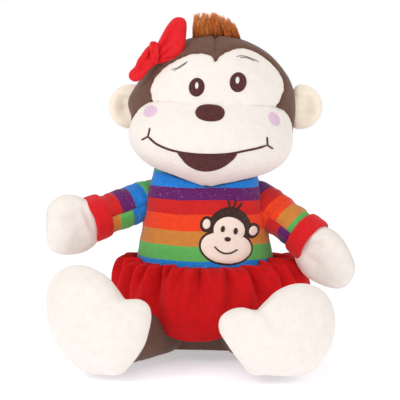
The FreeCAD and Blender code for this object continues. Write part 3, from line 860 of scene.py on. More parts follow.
# The bow's three parts as outlines of (x, z), where each one's middle lies, and its depths before and behind.
BOW_PARTS = {
    "bow_left_loop": (
        [(-39.5, 211.5), (-36.6, 219.0), (-32.8, 226.5), (-28.6, 231.0), (-23.4, 231.4), (-20.4, 228.0),
         (-20.0, 219.0), (-20.8, 209.5), (-25.0, 203.2), (-31.5, 200.6), (-38.2, 199.6), (-40.6, 204.5)],
        (-29.5, 214.5), (6.4, 4.4)),
    "bow_right_loop": (
        [(-41.6, 212.8), (-46.5, 209.4), (-50.4, 203.0), (-53.2, 196.6), (-56.8, 192.0), (-56.4, 187.8),
         (-52.2, 186.0), (-47.6, 188.4), (-43.8, 194.0), (-39.4, 198.8), (-38.6, 205.0)],
        (-47.6, 199.0), (4.6, 3.4)),
    "bow_knot": (
        [(-44.4, 212.6), (-41.6, 214.2), (-38.6, 212.6), (-37.6, 206.5), (-37.6, 200.6), (-39.4, 198.4),
         (-42.2, 199.8), (-43.6, 206.0)],
        (-40.8, 206.4), (4.4, 4.0)),
}
# The creases that run into each loop from the knot: each one's middle, length, width, depth and lean.
BOW_FOLDS = {
    "bow_left_loop": [((-36.0, 210.5), 8.0, 1.1, 2.6, 58.0), ((-34.6, 206.0), 9.0, 1.2, 2.2, 38.0),
                      ((-33.6, 202.6), 7.0, 1.0, 1.4, 14.0), ((-28.5, 222.0), 9.0, 2.2, 1.6, 66.0)],
    "bow_right_loop": [((-44.0, 203.5), 7.0, 1.1, 2.0, 52.0), ((-46.8, 197.0), 8.0, 1.3, 1.7, 44.0),
                       ((-42.6, 208.0), 5.0, 1.0, 1.4, 66.0)],
    "bow_knot": [((-41.6, 207.0), 9.0, 0.9, 1.3, 82.0), ((-39.6, 205.0), 8.0, 0.8, 1.1, 94.0)],
}


BOW_FORWARD, KNOT_FORWARD = -17.5, -20.1       # where the loops' and the knot's middles lie


def bow():
    """Two puffed loops and a band round their middle, standing on the crown's right side."""
    for number, (node, (outline, middle, bulges)) in enumerate(BOW_PARTS.items()):
        forward = KNOT_FORWARD if node == "bow_knot" else BOW_FORWARD
        shaped = []
        for front, panel in zip((1, -1), pillow(outline, middle, bulges, 0.3, 3.2)):
            flat = panel.reshape(-1, 3).copy()
            high = clamp(flat[:, 2] / flat[:, 2].max() * 2.5)
            flat[:, 2] += high * 0.7 * ripple(flat * [1, 1, 0.3], 5.5, 50.0 + number)
            for fold in BOW_FOLDS[node]:
                flat[:, 2] -= high * dent(flat, *fold)
            y = forward + 0.22 * (flat[:, 1] - 206.0) - front * flat[:, 2]
            shaped.append(np.column_stack([flat[:, 0], y, flat[:, 1]]).reshape(panel.shape))
        rings = np.concatenate([shaped[0][::-1], shaped[1][1:]])
        heart = np.array([middle[0], forward, middle[1]])
        whole("sewn_" + node, node, rings, heart, BOW_RED, HEAD)


def ears():
    """A fat front and back sewn round the rim, with the inner edge set in the head's side seam."""
    turn = full_turn(112)
    c, s = np.cos(turn), np.sin(turn)
    for side, sign in SIDES.items():
        x, y, z = EARS[side]
        out = np.where(c > 0, 16.8, 7.0) * np.abs(c) ** 0.9 * np.sign(c)
        up = 15.6 * s * (1 - 0.12 * np.maximum(0, -c))
        for front in (True, False):
            rings = []
            for share in np.cos(np.linspace(0.0, math.pi / 2, 36))[:-1]:
                fat = (1 - share ** 3.4) ** 0.5
                across, high = out * share, up * share
                if front:
                    dish = 3.6 * np.exp(-((across - 5.5) / 5.0) ** 2 - (high / 8.5) ** 2)
                    folds = 0.5 * bell(across - 3.0, 6.0) * np.cos(high * 0.9 + 1.0) * fat
                    deep = -7.0 * fat + dish + folds
                else:
                    deep = 5.6 * fat
                deep = deep - 1.8 * share * share * clamp(c)
                rings.append(np.column_stack([x + sign * across, y + deep, z + high]))
            rings[0][:, [0, 2]] += 0.05 * (np.array([x, z]) - rings[0][:, [0, 2]])
            rings = np.array(rings)
            flat = rings.reshape(-1, 3)
            free = clamp(np.abs(flat[:, 1] - y) / 4)
            flat[:, 1] += 0.45 * ripple(flat * [1, 0.2, 1], 6.0, 4.0 + sign) * free
            rings = flat.reshape(rings.shape)
            node = f"{side}_ear_{'front' if front else 'back'}"
            points, faces = lay(rings, True, last=rings[-1].mean(axis=0))
            look = np.array([x, 300.0 if front else -300.0, z])
            obj = make("sewn_" + node, points, outwards(points, faces, look), IVORY, HEAD)
            stands_for(obj, node)


def neck():
    """A short tube of cloth round the filling that joins the head to the body."""
    ways = globe(24, 48)
    middle = [row for row in NECK + ways * 13.0 if abs(row[0, 2] - NECK[2]) <= 9.0]
    cover("neck_cover", np.array(middle), True, BROWN, NECK, HEAD, fill=None)
    filling("neck_stuffing", lambda w: np.full(len(w), 10.5), NECK, HERE, 0.7)


# ---------- the body

BODY_HEART = np.array([0.0, SIDE_SEAM, WAIST])
LEG_ROOM = [(0, 0), (-20, 0), (0, 10), (0, -20), (-20, -20)]
STRIPE_LEVELS = [57.6, 68.0, 78.6, 89.0, 99.5, 109.0, 117.2, 126.0]
STRIPE_COUNT = [7, 6, 5, 4, 3, 2, 1, 0]
ARMHOLE = 41.0          # how far out the shirt reaches round each sleeve's root
ARMHOLE_LEAN = 0.36     # how much less that is for each millimetre above ARMHOLE_LEVEL
ARMHOLE_LEVEL = 103.0
SHOULDER_ROUND = 14.6


def body_skin(ways):
    """The body's skin, with room for the head and the legs, and a shoulder over each sleeve's root."""
    wide = smooth_table(BODY_LEVELS, BODY_WIDE)
    deep = smooth_table(BODY_LEVELS, BODY_DEEP)
    legs, sleeves = [], []
    for side, sign in SIDES.items():
        down, forward = LIMBS[side]["leg"]
        for dip, swing in LEG_ROOM:
            way = along(sign, down + dip, forward + swing)[:, 0]
            legs.append((HIP * [sign, 1, 1], way, 40, LEG_ROOT + 0.5))
        way = limb(side, "arm").turned[:, 0]
        sleeves.append((SHOULDER * [sign, 1, 1] + 9.0 * way, way, 30, SLEEVE_INNER))

    def outside(points):
        w = np.interp(points[:, 2], *wide)
        d = np.interp(points[:, 2], *deep)
        # an oval at each height that grows squarer towards the shoulders
        square = 2.0 + 0.8 * clamp((points[:, 2] - 84) / 20)
        oval_share = (np.abs(points[:, 0] / w) ** square + np.abs(points[:, 1] / d) ** square) ** (1 / square)
        gap = (oval_share - 1) * np.minimum(w, d)
        # the round shoulders, cut off where the sleeves begin
        for sign in SIDES.values():
            shoulder = SHOULDER_ROUND - np.linalg.norm(points - SHOULDER * [sign, 1, 1], axis=1)
            armhole = ARMHOLE - ARMHOLE_LEAN * np.maximum(0, points[:, 2] - ARMHOLE_LEVEL)
            gap = np.minimum(gap, np.maximum(-shoulder, np.abs(points[:, 0]) - armhole))
        gap = np.maximum(gap, -points[:, 2])
        gap = np.maximum(gap, points[:, 2] - BODY_LEVELS[-1])
        seat = (12.0 - points[:, 2]) * 1.1 + (-18.0 - points[:, 1])      # the front of the seat slopes back
        gap = np.maximum(gap, np.where(points[:, 2] < 30, seat, gap))
        gap = np.maximum(gap, rod_gap(points, NECK, np.array([0, 0, 1.0]), 0, NECK_SOCKET))
        for rod in legs + sleeves:
            gap = np.maximum(gap, rod_gap(points, *rod))
        # the shirt's neck is drawn close under the head
        local = HEAD.into(points)
        for middle, radii in HEAD_FORMS:
            far = np.linalg.norm((local - middle) / (np.array(radii) - 0.4), axis=1)
            gap = np.maximum(gap, (1 - far) * radii[2] - 0.8 * jaw(local))
        return gap

    return march(ways, BODY_HEART, np.full(len(ways), 90.0), outside, 1.0)


def torso():
    """The striped shirt's two panels, the brown seat and the fillings. Returns the shirt as a tree."""
    columns = 288
    turn = full_turn(columns)
    flat = np.column_stack([np.cos(turn), np.sin(turn), np.zeros(columns)])
    up = np.array([0, 0, 1.0])

    def rings(start, end, count):
        tips = np.linspace(start, end, count)
        return np.array([math.cos(t) * up + math.sin(t) * flat for t in tips])

    shirt = rings(0.03, math.pi / 2, 130)
    lower = rings(math.pi / 2, math.pi - 0.04, 64)
    ways = np.concatenate([shirt.reshape(-1, 3), lower.reshape(-1, 3)])
    base = BODY_HEART + ways * body_skin(ways)[:, None]
    first = base[: shirt.size // 3].reshape(shirt.shape)
    half = columns // 2
    pull = stitch_in(base, [first[:, 0], first[:, half]], 0.9, 2.0, 5.0)
    # wrinkles across the chest, and small gathers at the waist
    wrinkles = ripple(base * [0.5, 0.5, 1.6], 9, 6.0) + 0.6 * ripple(base * [0.4, 0.4, 1.0], 14, 6.5)
    pull += 0.75 * wrinkles * bell(base[:, 2] - 98, 30)
    pull += 0.35 * ripple(base, 5, 7.0) * bell(base[:, 2] - WAIST, 6)
    pull[base[:, 2] < 1.0] = 0          # the seat lies flat
    skin = base - ways * pull[:, None]
    top = skin[: shirt.size // 3].reshape(shirt.shape)
    bottom = skin[shirt.size // 3:].reshape(lower.shape)
    for node, start, end in (("shirt_back_panel", 0, half), ("shirt_front_panel", half, columns)):
        grid = span(top, start, end)
        obj = cover(node, grid, False, STRIPES, BODY_HEART)
        sag = 1.2 * ripple(grid.reshape(-1, 3), 30, 8.0)
        note(obj, "stripe", np.interp(grid.reshape(-1, 3)[:, 2] + sag, STRIPE_LEVELS, STRIPE_COUNT))
    cover("lower_body_cover", bottom, True, BROWN, BODY_HEART, last=bottom[-1].mean(axis=0))
    filling("torso_stuffing", body_skin, BODY_HEART, HERE, 4.0)
    bag = np.array([0.0, 12.0, 20.0])
    filling("pellet_bag", lambda w: reach(w, bag, [(bag, (24, 16, 13))]), bag, HERE, 0.5, PELLETS)
    points, faces = lay(top, True)
    return BVHTree.FromPolygons([Vector(p) for p in points], faces)


# The skirt's section: for each share of the way from the waist to a full-length hem, how far out it is at the
# sides, in front and behind, and how far down.
SKIRT_SHARES = [0.00, 0.05, 0.14, 0.28, 0.42, 0.58, 0.74, 0.88, 1.00]
SKIRT_RIGHT = [48.8, 51.8, 55.0, 58.6, 61.2, 62.4, 61.8, 59.0, 54.0]
SKIRT_LEFT = [48.8, 53.4, 59.0, 65.6, 70.6, 73.4, 72.0, 67.0, 60.0]
SKIRT_FRONT = [40.3, 43.8, 48.5, 53.0, 56.0, 57.5, 56.8, 53.0, 47.0]
SKIRT_BACK = [40.3, 43.0, 46.5, 49.5, 51.0, 51.5, 50.5, 47.5, 43.0]
DROP_AHEAD = [0.0, -0.4, 1.2, 7.0, 14.0, 23.0, 32.5, 41.0, 48.5]
DROP_ASIDE = [0.0, -2.4, -2.6, 3.5, 12.0, 22.5, 32.5, 41.0, 48.5]
# The hem's height at each angle from straight ahead, on the monkey's right and on its left.
HEM_AHEAD = [0, 12, 22, 29, 36, 44, 60, 85, 104, 118, 180]
HEM_RIGHT = [17.4, 18.0, 21.0, 26.0, 33.0, 39.5, 42.0, 43.0, 36.0, 19.0, 16.5]
HEM_LEFT = [17.4, 18.6, 22.6, 28.5, 36.0, 41.0, 43.0, 42.0, 35.0, 19.0, 16.5]
# The deep folds that run down from the waist in front: the angle from ahead, left positive, and their
# depth, width and length.
SKIRT_FOLDS = [(-74, 4.6, 3.2, 0.50), (-64, 5.0, 3.0, 0.60), (-53, 8.0, 3.6, 0.85), (-42, 6.4, 2.8, 0.60),
               (-32, 8.4, 3.4, 0.95), (-24, 5.6, 2.4, 0.50), (-12, 3.8, 2.8, 0.45), (1, 5.6, 3.8, 0.80),
               (12, 2.6, 2.2, 0.35), (23, 5.4, 3.4, 0.80), (31, 3.4, 2.4, 0.45), (41, 6.6, 3.4, 0.85),
               (51, 4.2, 2.6, 0.50), (61, 6.6, 3.4, 0.80), (73, 4.6, 3.0, 0.55)]


def fold_pull(ahead, s, folds):
    """How far the cloth is drawn in at each angle: a fold has a ridge on either side and a crease in it."""
    pull = np.zeros(len(ahead))
    for angle, depth, width, long in folds:
        drift = 4.0 * math.sin(angle * 1.7) * s
        off = np.abs((ahead - angle - drift + 180) % 360 - 180)
        fade = clamp(s / 0.05) * bell(np.maximum(0, s - 0.3 * long), 0.6 * long)
        spread = width * (0.8 + 1.1 * s)
        pull += 0.8 * depth * fade * bell(off, spread)
        pull -= 0.3 * depth * fade * bell(off - 2.0 * spread, spread)
        crease = clamp(s / 0.03) * bell(np.maximum(0, s - 0.16 * long), 0.36 * long)
        pull += 0.9 * depth * crease * np.exp(-(off / (1.2 + 1.8 * s)) ** 1.2)
    return pull


def round_noise(turn, size, level):
    """Noise that closes on itself round a circle of that size."""
    return np.array([noise.noise(Vector((math.cos(t) * size, math.sin(t) * size, level))) for t in turn])


def skirt():
    """A gathered bubble skirt: gathers at the waist that run together into deep soft folds, and a rolled hem
    that hangs low between the thighs and behind, and lies high over the thighs."""
    columns, rows = 600, 72
    turn = full_turn(columns)
    ahead = np.degrees(np.arctan2(np.cos(turn), -np.sin(turn)))         # 0 in front, left positive
    hem_right = np.interp(-ahead, *smooth_table(HEM_AHEAD, HEM_RIGHT))
    hem_left = np.interp(ahead, *smooth_table(HEM_AHEAD, HEM_LEFT))
    hem = np.where(ahead < 0, hem_right, hem_left)
    draw = random.Random(21)
    folds = list(SKIRT_FOLDS)       # those in front, as in the photo, and others all round the back
    folds += [(84 + 12.6 * k + draw.uniform(-3, 3), draw.uniform(3.4, 6.0), draw.uniform(2.8, 4.0),
               draw.uniform(0.45, 0.9)) for k in range(17)]
    gathers = np.cos(58 * turn + 9.0 * round_noise(turn, 1.4, 3.0))
    rumple = round_noise(turn, 7.0, 8.0)
    section = [smooth_table(SKIRT_SHARES, run)
               for run in (SKIRT_RIGHT, SKIRT_LEFT, SKIRT_FRONT, SKIRT_BACK, DROP_AHEAD, DROP_ASIDE)]
    aside = np.cos(turn) ** 2
    # the share of the full-length section at which the hem is reached, at each column
    shares = np.linspace(0.2, 1.0, 200)
    last = np.interp(-hem, np.interp(shares, *section[4]) - WAIST, shares)
    turned = np.column_stack([np.cos(turn), np.sin(turn)])
    shirt = 1 / np.hypot(turned[:, 0] / (SKIRT_RIGHT[0] - 0.2), turned[:, 1] / (SKIRT_FRONT[0] - 0.3))
    grid = np.zeros((rows, columns, 3))
    for row in range(rows):
        s = row / (rows - 1) * last
        right, left, front, back, drop, drop_aside = (np.interp(s, *run) for run in section)
        side = np.where(ahead < 0, right, left)
        deep = np.where(np.abs(ahead) < 90, front, back)
        z = WAIST - drop - (drop_aside - drop) * aside
        z = z + 3.6 * rumple * bell(s - 0.12, 0.09) * clamp(s / 0.02)
        pull = fold_pull(ahead, s, folds) - 2.2 * clamp(s / 0.1)
        pull += 1.3 * bell(s, 0.08) * (1 + gathers) * clamp(s / 0.01)
        pull += 2.4 * rumple * clamp(s / 0.12) * bell(s, 0.6)
        radius = 1 / np.hypot(turned[:, 0] / side, turned[:, 1] / deep)
        radius = np.maximum(radius - pull, shirt + 0.2 + 0.8 * s)       # no deeper than the shirt's hem
        grid[row] = np.column_stack([turned * radius[:, None], z])
    # soft lumps that grow towards the hem
    flat = grid.reshape(-1, 3)
    away = unit(flat * [1, 1, 0])
    share = np.repeat(np.linspace(0, 1, rows), columns)
    flat += (1.5 * ripple(flat * [1, 1, 0.6], 15.0, 9.0) * share)[:, None] * away
    flat += (0.6 * ripple(flat, 6.0, 10.0) * share ** 0.5)[:, None] * (away + [0, 0, 0.4])
    grid = flat.reshape(grid.shape)
    # the rolled hem
    away = unit(grid[-1] * [1, 1, 0])
    centre = grid[-1] - away * 2.2
    rolled = [centre + 2.2 * (away * math.cos(a) - [0, 0, math.sin(a)]) for a in np.linspace(0.45, 3.6, 8)]
    points, faces = lay(np.concatenate([grid, rolled]), True)
    obj = make("cloth_skirt", points, outwards(points, faces, np.array([0, 0, 45.0])), SKIRT_RED)
    thicken(obj, SKIRT_THICK)
    stands_for(obj, "skirt")


PATCH = np.array([19.0, 86.6])
PATCH_LEAN = math.radians(-10)


def patch(tree):
    """A plain monkey face in felt, bordered and drawn in satin stitch, on the shirt's front."""
    c, s = math.cos(PATCH_LEAN), math.sin(PATCH_LEAN)

    def spot(x, z, wide, high, low, top, rings=8, count=48):
        outline = PATCH + oval(x, z, wide, high, 0, count) @ [[c, s], [-s, c]]
        return sewn_shape(tree, outline, top - low, rings, low=low, edge=low, round_off=6)

    def line(run, wide, low, top):
        return sewn_line(tree, PATCH + run @ [[c, s], [-s, c]], wide, top - low, low, False)

    def pair(x, *rest):
        return [spot(-x, *rest), spot(x, *rest)]

    felt = [spot(0, 2.5, 11.0, 9.5, 0.4, 1.5), spot(0, -9.2, 16.6, 10.6, 0.8, 1.9)]
    felt += pair(15.5, 4.0, 2.6, 3.3, 0.8, 1.4, 5)
    skull = [spot(0, 3.5, 14.5, 14.5, 0.0, 0.9)]
    skull += pair(15.5, 4.0, 4.6, 5.4, 0.0, 0.8, 5)
    muzzle = [spot(0, -9.0, 18.2, 12.2, 0.0, 1.2)]
    features = pair(4.2, 2.6, 1.5, 2.3, 1.3, 2.2, 5, 24)
    features.append(spot(0, -3.8, 2.2, 1.6, 1.7, 2.6, 5, 24))
    smile = curve([(-7.5, -9.8), (-4.0, -12.4), (0, -13.4), (4.0, -12.4), (7.5, -9.8)], 8)
    features.append(line(smile, 1.1, 1.6, 2.6))
    for start, end in (((-2.6, 17.5), (-4.4, 21.6)), ((0.0, 17.8), (0.4, 22.6)), ((2.6, 17.5), (5.0, 21.4))):
        mid = ((start[0] + end[0]) / 2 + 0.5, (start[1] + end[1]) / 2)
        features.append(line(curve([start, mid, end], 6), 1.5, 0.0, 1.1))
    behind = np.array([PATCH[0], 60.0, PATCH[1]])
    embroidery("patch_backing", felt, FELT, HERE, behind)
    embroidery("patch_embroidery", skull + muzzle + features, DARK, HERE, behind)


# ---------- the limbs

def tube(profile, columns=128):
    """Rings round the X axis from (x, radius) pairs."""
    turn = full_turn(columns)
    return np.array([np.column_stack([np.full(columns, x), radius * np.cos(turn), radius * np.sin(turn)])
                     for x, radius in profile])


def draw_in(rings, pull):
    """Moves each point of a tube towards the X axis."""
    away = unit(rings.reshape(-1, 3) * [0, 1, 1] + [0, 1e-9, 0])
    return rings - (away * pull[:, None]).reshape(rings.shape)


def ball_root(radius, steps=14):
    """The round root of a limb, from just off its pole to its full width."""
    turns = np.linspace(0.12, math.pi / 2, steps, endpoint=False)
    return [(-radius * math.cos(t), radius * math.sin(t)) for t in turns]


# For each sleeve panel: the place along the arm of some stripe boundaries, and their counts in the repeat.
SLEEVE_STRIPES = {
    ("left", "upper"): ([-7, 4, 14.5, 25, 34.5, 45], [1, 2, 3, 4, 5, 6]),
    ("left", "lower"): ([0, 11, 19.5, 30, 40], [5, 4, 3, 2, 1]),
    ("right", "upper"): ([-0.5, 9.5, 19.5, 29.5, 39.5], [-1, 0, 1, 2, 3]),
    ("right", "lower"): ([1.5, 12, 22.5, 33, 43.5], [8, 7, 6, 5, 4]),
}


def arm(side, sign):
    """A sleeve of two striped panels over its filling, then the cuff and the hand."""
    place = limb(side, "arm")
    middle = np.array([20.0, 0, 0])
    step, taper = SLEEVE_ROOT - SLEEVE_INNER, (SLEEVE_ROOT - SLEEVE_END) / SLEEVE_LONG
    shaft = [(x, SLEEVE_ROOT - step * math.exp(-(x / 6.0) ** 2) - taper * x)
             for x in np.linspace(0, SLEEVE_LONG, 60)]
    rings = tube(ball_root(SLEEVE_INNER) + shaft)
    columns = rings.shape[1]
    half = columns // 2
    flat = rings.reshape(-1, 3)
    pull = stitch_in(flat, [rings[:, 0], rings[:, half]], [1.0, 0.6], 1.7, 12.0 + sign)
    free = clamp((flat[:, 0] + 2) / 14) * np.clip((SLEEVE_LONG - flat[:, 0]) / 6, 0.2, 1)
    wrinkles = ripple(flat * [1.7, 0.6, 0.6], 7.0, 14.0 + sign)
    pull += free * (0.9 * wrinkles - 0.7)
    pull += 0.8 * free * bell(flat[:, 0] - 8, 5) * clamp(-flat[:, 2] / 13)
    rings = draw_in(rings, pull)
    for panel, start, end in (("upper", 0, half), ("lower", half, columns)):
        grid = span(rings, start, end)
        obj = cover(f"{side}_sleeve_{panel}", grid, False, STRIPES, middle, place)
        wave = 0.8 * ripple(grid.reshape(-1, 3), 14, 15.0)
        note(obj, "stripe", slope(grid.reshape(-1, 3)[:, 0] + wave, *SLEEVE_STRIPES[side, panel]))
    bag = tube([(x, r - 2.6) for x, r in ball_root(SLEEVE_INNER, 8)[1:] + shaft[::6] if x < 37], 48)
    whole(f"filling_{side}_arm_stuffing", f"{side}_arm_stuffing", bag, middle, FILL, place)
    filling(f"{side}_shoulder_stuffing", lambda w: np.full(len(w), 8.5), SHOULDER * [sign, 1, 1], HERE, 0.6)
    cuff(side, sign, place)
    hand(side, sign)


def slope(values, at, counts):
    """np.interp that goes on at the same slope past both ends."""
    inside = np.interp(values, at, counts)
    before = counts[0] + (values - at[0]) * (counts[1] - counts[0]) / (at[1] - at[0])
    after = counts[-1] + (values - at[-1]) * (counts[-1] - counts[-2]) / (at[-1] - at[-2])
    return np.where(values < at[0], before, np.where(values > at[-1], after, inside))


def cuff(side, sign, place):
    """A turned-up band: a closed ring whose section is a soft oblong, with a seam across it."""
    columns = 160
    turn = full_turn(columns)
    outline = [(0, 13.3), (-0.3, 14.6), (1.0, 15.6), (4, 16.0), (8, 16.1), (11.0, 16.0), (12.4, 15.1),
               (12.2, 13.7), (10.6, 13.1), (5, 13.0)]
    section = curve(outline, 5, True) + [CUFF_START, 0]
    seam_turn = math.radians(250 if sign > 0 else 290)
    near = bell(np.angle(np.exp(1j * (turn - seam_turn))), 0.07)
    lumps = round_noise(turn, 2.2, 5.0 * sign)
    rings = []
    for x, radius in section:
        outer = max(0.0, radius - 13.0) / 3.0
        r = radius + outer * (0.55 * lumps - 0.9 * near)
        shift = 0.5 * lumps * (1 if x > CUFF_START + 6 else -1)
        rings.append(np.column_stack([x + shift, r * np.cos(turn), r * np.sin(turn)]))
    points = np.concatenate(rings)
    faces = [tuple(corner % len(points) for corner in face) for face in quads(len(rings) + 1, columns, True)]
    points = points + 0.18 * ripple(points, 3.0, 16.0)[:, None] * unit(points * [0, 1, 1])
    if signed_volume(points, faces) < 0:
        faces = [tuple(reversed(f)) for f in faces]
    obj = make(f"sewn_{side}_cuff", points, faces, RED, place)
    stands_for(obj, f"{side}_cuff")


def signed_volume(points, faces):
    total = 0.0
    for face in faces:
        a, b, c = (points[i] for i in face[:3])
        total += float(a @ np.cross(b, c))
        if len(face) == 4:
            total += float(a @ np.cross(c, points[face[3]]))
    return total


# Each hand's outline of (out, up) in its own axes, from its root inside the cuff; the two differ.
HAND_EDGE = {
    "left": [(-11.0, 8.5), (-11.0, -8.0), (-4.5, -13.6), (3.0, -18.4), (12.5, -19.6), (22.8, -15.8),
             (31.8, -9.8), (37.4, -3.0), (38.4, 4.6), (34.8, 12.2), (28.6, 16.4), (18.5, 18.2), (8.0, 18.0),
             (0.5, 15.6), (-4.5, 12.2)],
    "right": [(-11.0, 8.5), (-11.0, -8.0), (-4.0, -13.0), (3.2, -17.6), (12.0, -19.0), (21.8, -16.8),
              (30.2, -12.0), (33.6, -5.0), (32.0, 3.4), (29.4, 12.0), (25.4, 19.6), (18.6, 23.4), (11.5, 23.6),
              (4.5, 20.8), (-0.8, 16.4), (-4.5, 12.2)],
}
# The dents in each hand's front and in its back: the middle, the length, the width, the depth and the lean.
HAND_DENTS = {
    "left": ([((6.0, 6.0), 7.0, 2.6, 2.2, 60.0), ((13.0, -2.0), 6.0, 3.0, 1.2, 20.0)],
             [((8.0, 4.0), 7.0, 3.0, 1.6, 50.0)]),
    "right": ([((4.5, 3.0), 9.0, 2.6, 2.2, 84.0), ((16.0, 9.0), 7.0, 3.4, 1.1, 30.0)],
              [((6.0, 2.0), 8.0, 3.0, 1.6, 80.0)]),
}


def hand(side, sign):
    """Two panels sewn round the edge, whose root is tucked into the cuff."""
    place = limb(side, "hand")
    middle = np.array([13.0, 1.0])
    before = -1 if sign > 0 else 1         # which way along the hand's own Y is forward

    def put(across, up, depth):
        return np.column_stack([across, before * depth, up])

    panels = pillow(HAND_EDGE[side], middle, (12.4, 12.0), 0.6, 2.6, root=2.4)
    stuffed((f"{side}_hand_front", f"{side}_hand_back"), f"{side}_hand_stuffing", panels, put, place,
            np.array([middle[0], 0.0, middle[1]]), 20.0 + sign, HAND_DENTS[side])


def leg(side, sign):
    """A tapering brown tube with a round end at the ankle, then the foot."""
    place = limb(side, "leg")
    middle = np.array([35.0, 0, 0])
    shaft = [(x, LEG_ROOT + (LEG_END - LEG_ROOT) * x / LEG_LONG) for x in np.linspace(0, LEG_LONG, 60)]
    toe = [(LEG_LONG + LEG_END * math.sin(t), LEG_END * math.cos(t)) for t in np.linspace(0.1, 1.45, 12)]
    rings = tube(ball_root(LEG_ROOT) + shaft + toe, 120)
    flat = rings.reshape(-1, 3)
    free = clamp(flat[:, 0] / 14) * clamp((LEG_LONG - flat[:, 0]) / 12)
    pull = stitch_in(flat, [rings[:, 90]], 0.8, 1.7, 30.0 + sign)
    pull += free * (0.8 * ripple(flat * [1.5, 0.6, 0.6], 9.0, 31.0 + sign) - 0.1)
    rings = draw_in(rings, np.maximum(pull, -0.4))
    cover(f"{side}_leg_cover", rings, True, BROWN, middle, place,
          rings[0].mean(axis=0) - [0.1, 0, 0], rings[-1].mean(axis=0) + [0.1, 0, 0])
    bag = tube([(x, r - 3.0) for x, r in ball_root(LEG_ROOT, 8)[1:] + shaft[::6] + toe[:6]], 48)
    whole(f"filling_{side}_leg_stuffing", f"{side}_leg_stuffing", bag, middle, FILL, place)
    filling(f"{side}_hip_stuffing", lambda w: np.full(len(w), 11.0), HIP * [sign, 1, 1], HERE, 0.6)
    foot(side, sign)


# Each foot's outline of (inwards, up) in its own axes: a broad forefoot that leans out, a toe at the inner side
# with a notch above it, and a narrower heel.
FOOT_EDGE = {
    "right": [(-20.5, 51.6), (-9.0, 50.4), (2.0, 45.0), (9.0, 37.0), (13.6, 31.4), (17.6, 31.2), (24.5, 31.4),
              (30.4, 28.0), (32.6, 21.5), (31.6, 12.5), (28.6, 2.0), (22.0, -8.6), (14.6, -16.6), (6.0, -18.2),
              (-8.0, -17.2), (-18.8, -11.8), (-28.0, -2.4), (-35.0, 9.0), (-38.2, 22.0), (-37.8, 35.5),
              (-32.2, 46.0)],
    "left": [(-16.0, 40.0), (-26.6, 38.6), (-34.8, 33.4), (-39.4, 24.5), (-40.0, 13.0), (-36.4, 1.0),
             (-30.4, -8.0), (-19.5, -16.8), (-6.0, -17.4), (8.0, -14.8), (18.4, -12.6), (24.4, -3.4),
             (30.6, 8.6), (34.2, 18.0), (32.4, 25.6), (26.0, 29.6), (18.0, 30.2), (10.5, 27.4), (6.6, 26.6),
             (2.4, 30.2), (-5.0, 36.8)],
}
# The dents in each foot's sole, given as for the hands.
FOOT_DENTS = {
    "right": [((6.0, 29.0), 10.0, 2.6, 2.6, 22.0), ((10.0, 2.0), 12.0, 2.0, 0.8, 8.0),
              ((-12.0, 20.0), 12.0, 7.0, 0.7, 70.0)],
    "left": [((3.0, 22.0), 9.0, 2.6, 2.4, 66.0), ((-14.0, 8.0), 14.0, 6.0, 0.7, 30.0)],
}


def foot(side, sign):
    """Two panels sewn round the edge, sole forward, with the leg's round end set in the back one."""
    place = limb(side, "foot")
    inward = -sign
    middle = np.array([-3.0, 17.0])

    def put(across, up, depth):
        return np.column_stack([FOOT_OUT + depth, inward * across, up])

    def clear_ankle(points):
        room = (LEG_END + 0.4) ** 2 - (points[:, 1] ** 2 + points[:, 2] ** 2)
        ankle = np.where(room > 0, np.sqrt(np.maximum(room, 0)), -np.inf)
        points[:, 0] = np.maximum(points[:, 0], ankle)
        return points

    panels = pillow(FOOT_EDGE[side], middle, (14.5, 14.0), 0.8, 2.7)
    stuffed((f"{side}_foot_sole", f"{side}_foot_upper"), f"{side}_foot_stuffing", panels, put, place,
            np.array([FOOT_OUT, inward * middle[0], middle[1]]), 40.0 + sign, (FOOT_DENTS[side], []),
            clear_ankle)


# ---------- the studio

CAMERA_AROUND, CAMERA_ABOVE, CAMERA_FAR = 6.0, 6.5, 1100.0
CAMERA_LENS = 141.4
FLOOR_HALF = 30000.0
LOOK_AT = np.array([-3.5, 0.0, 106.0])


def aim(obj, place, target):
    obj.location = Vector(place) * METRES
    look = Vector(target) - Vector(place)
    obj.rotation_euler = look.to_track_quat("-Z", "Y").to_euler()


def lamp(name, place, size, power):
    light = bpy.data.lights.new(name, "AREA")
    light.shape = "DISK"
    light.size = size * METRES
    light.energy = power
    obj = bpy.data.objects.new(name, light)
    bpy.context.scene.collection.objects.link(obj)
    aim(obj, place, (0, -10, 90))


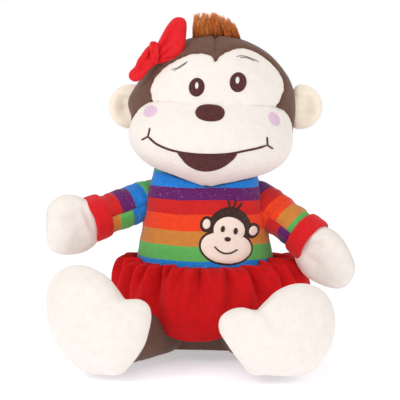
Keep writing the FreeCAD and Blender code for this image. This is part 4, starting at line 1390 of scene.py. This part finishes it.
def camera():
    around, above = math.radians(CAMERA_AROUND), math.radians(CAMERA_ABOVE)
    level = math.cos(above)
    back = np.array([math.sin(around) * level, -math.cos(around) * level, math.sin(above)])
    obj = bpy.data.objects.new("camera", bpy.data.cameras.new("camera"))
    obj.data.lens = CAMERA_LENS
    bpy.context.scene.collection.objects.link(obj)
    aim(obj, LOOK_AT + back * CAMERA_FAR, LOOK_AT)
    bpy.context.scene.camera = obj


def ground():
    """A pale floor that glows a little, so that it meets the white behind it."""
    f = Finish("floor", 0.8)
    f.paint(f.patchy((0.83, 0.84, 0.89, 1.0), 60.0, 2.0, 0.98, 0.0, 1.0))
    f.skin.inputs["Emission Color"].default_value = (0.97, 0.97, 1.0, 1.0)
    f.skin.inputs["Emission Strength"].default_value = 0.45
    corners = FLOOR_HALF * np.array([(-1, -1, 0), (1, -1, 0), (1, 1, 0), (-1, 1, 0)])
    floor = make("floor", corners, [(0, 1, 2, 3)], f.material)
    floor.location.z = CAD_BOX[0][2] - 0.0001


def backdrop():
    """White at the height of the doll, fading to grey overhead."""
    world = bpy.data.worlds.new("studio")
    world.use_nodes = True
    tree = world.node_tree
    where = tree.nodes.new("ShaderNodeTexCoord")
    split = tree.nodes.new("ShaderNodeSeparateXYZ")
    fade = tree.nodes.new("ShaderNodeValToRGB")
    for element, (at, level) in zip(fade.color_ramp.elements, ((0.12, 1.0), (0.50, 0.62))):
        element.position = at
        element.color = grey(level)
    tree.links.new(where.outputs["Generated"], split.inputs[0])
    tree.links.new(split.outputs["Z"], fade.inputs["Fac"])
    tree.links.new(fade.outputs["Color"], tree.nodes["Background"].inputs["Color"])
    bpy.context.scene.world = world
    bpy.context.scene.view_settings.view_transform = "Standard"


camera()
ground()
backdrop()
lamp("key", (-420, -620, 620), 420, 2.0)
lamp("fill", (560, -560, 330), 520, 0.6)
lamp("top", (0, 60, 820), 620, 0.9)

head_tree = head()
face_trim(head_tree)
hair_tuft(head_tree)
bow()
ears()
neck()
shirt_tree = torso()
patch(shirt_tree)
skirt()
for side_name, side_sign in SIDES.items():
    arm(side_name, side_sign)
    leg(side_name, side_sign)
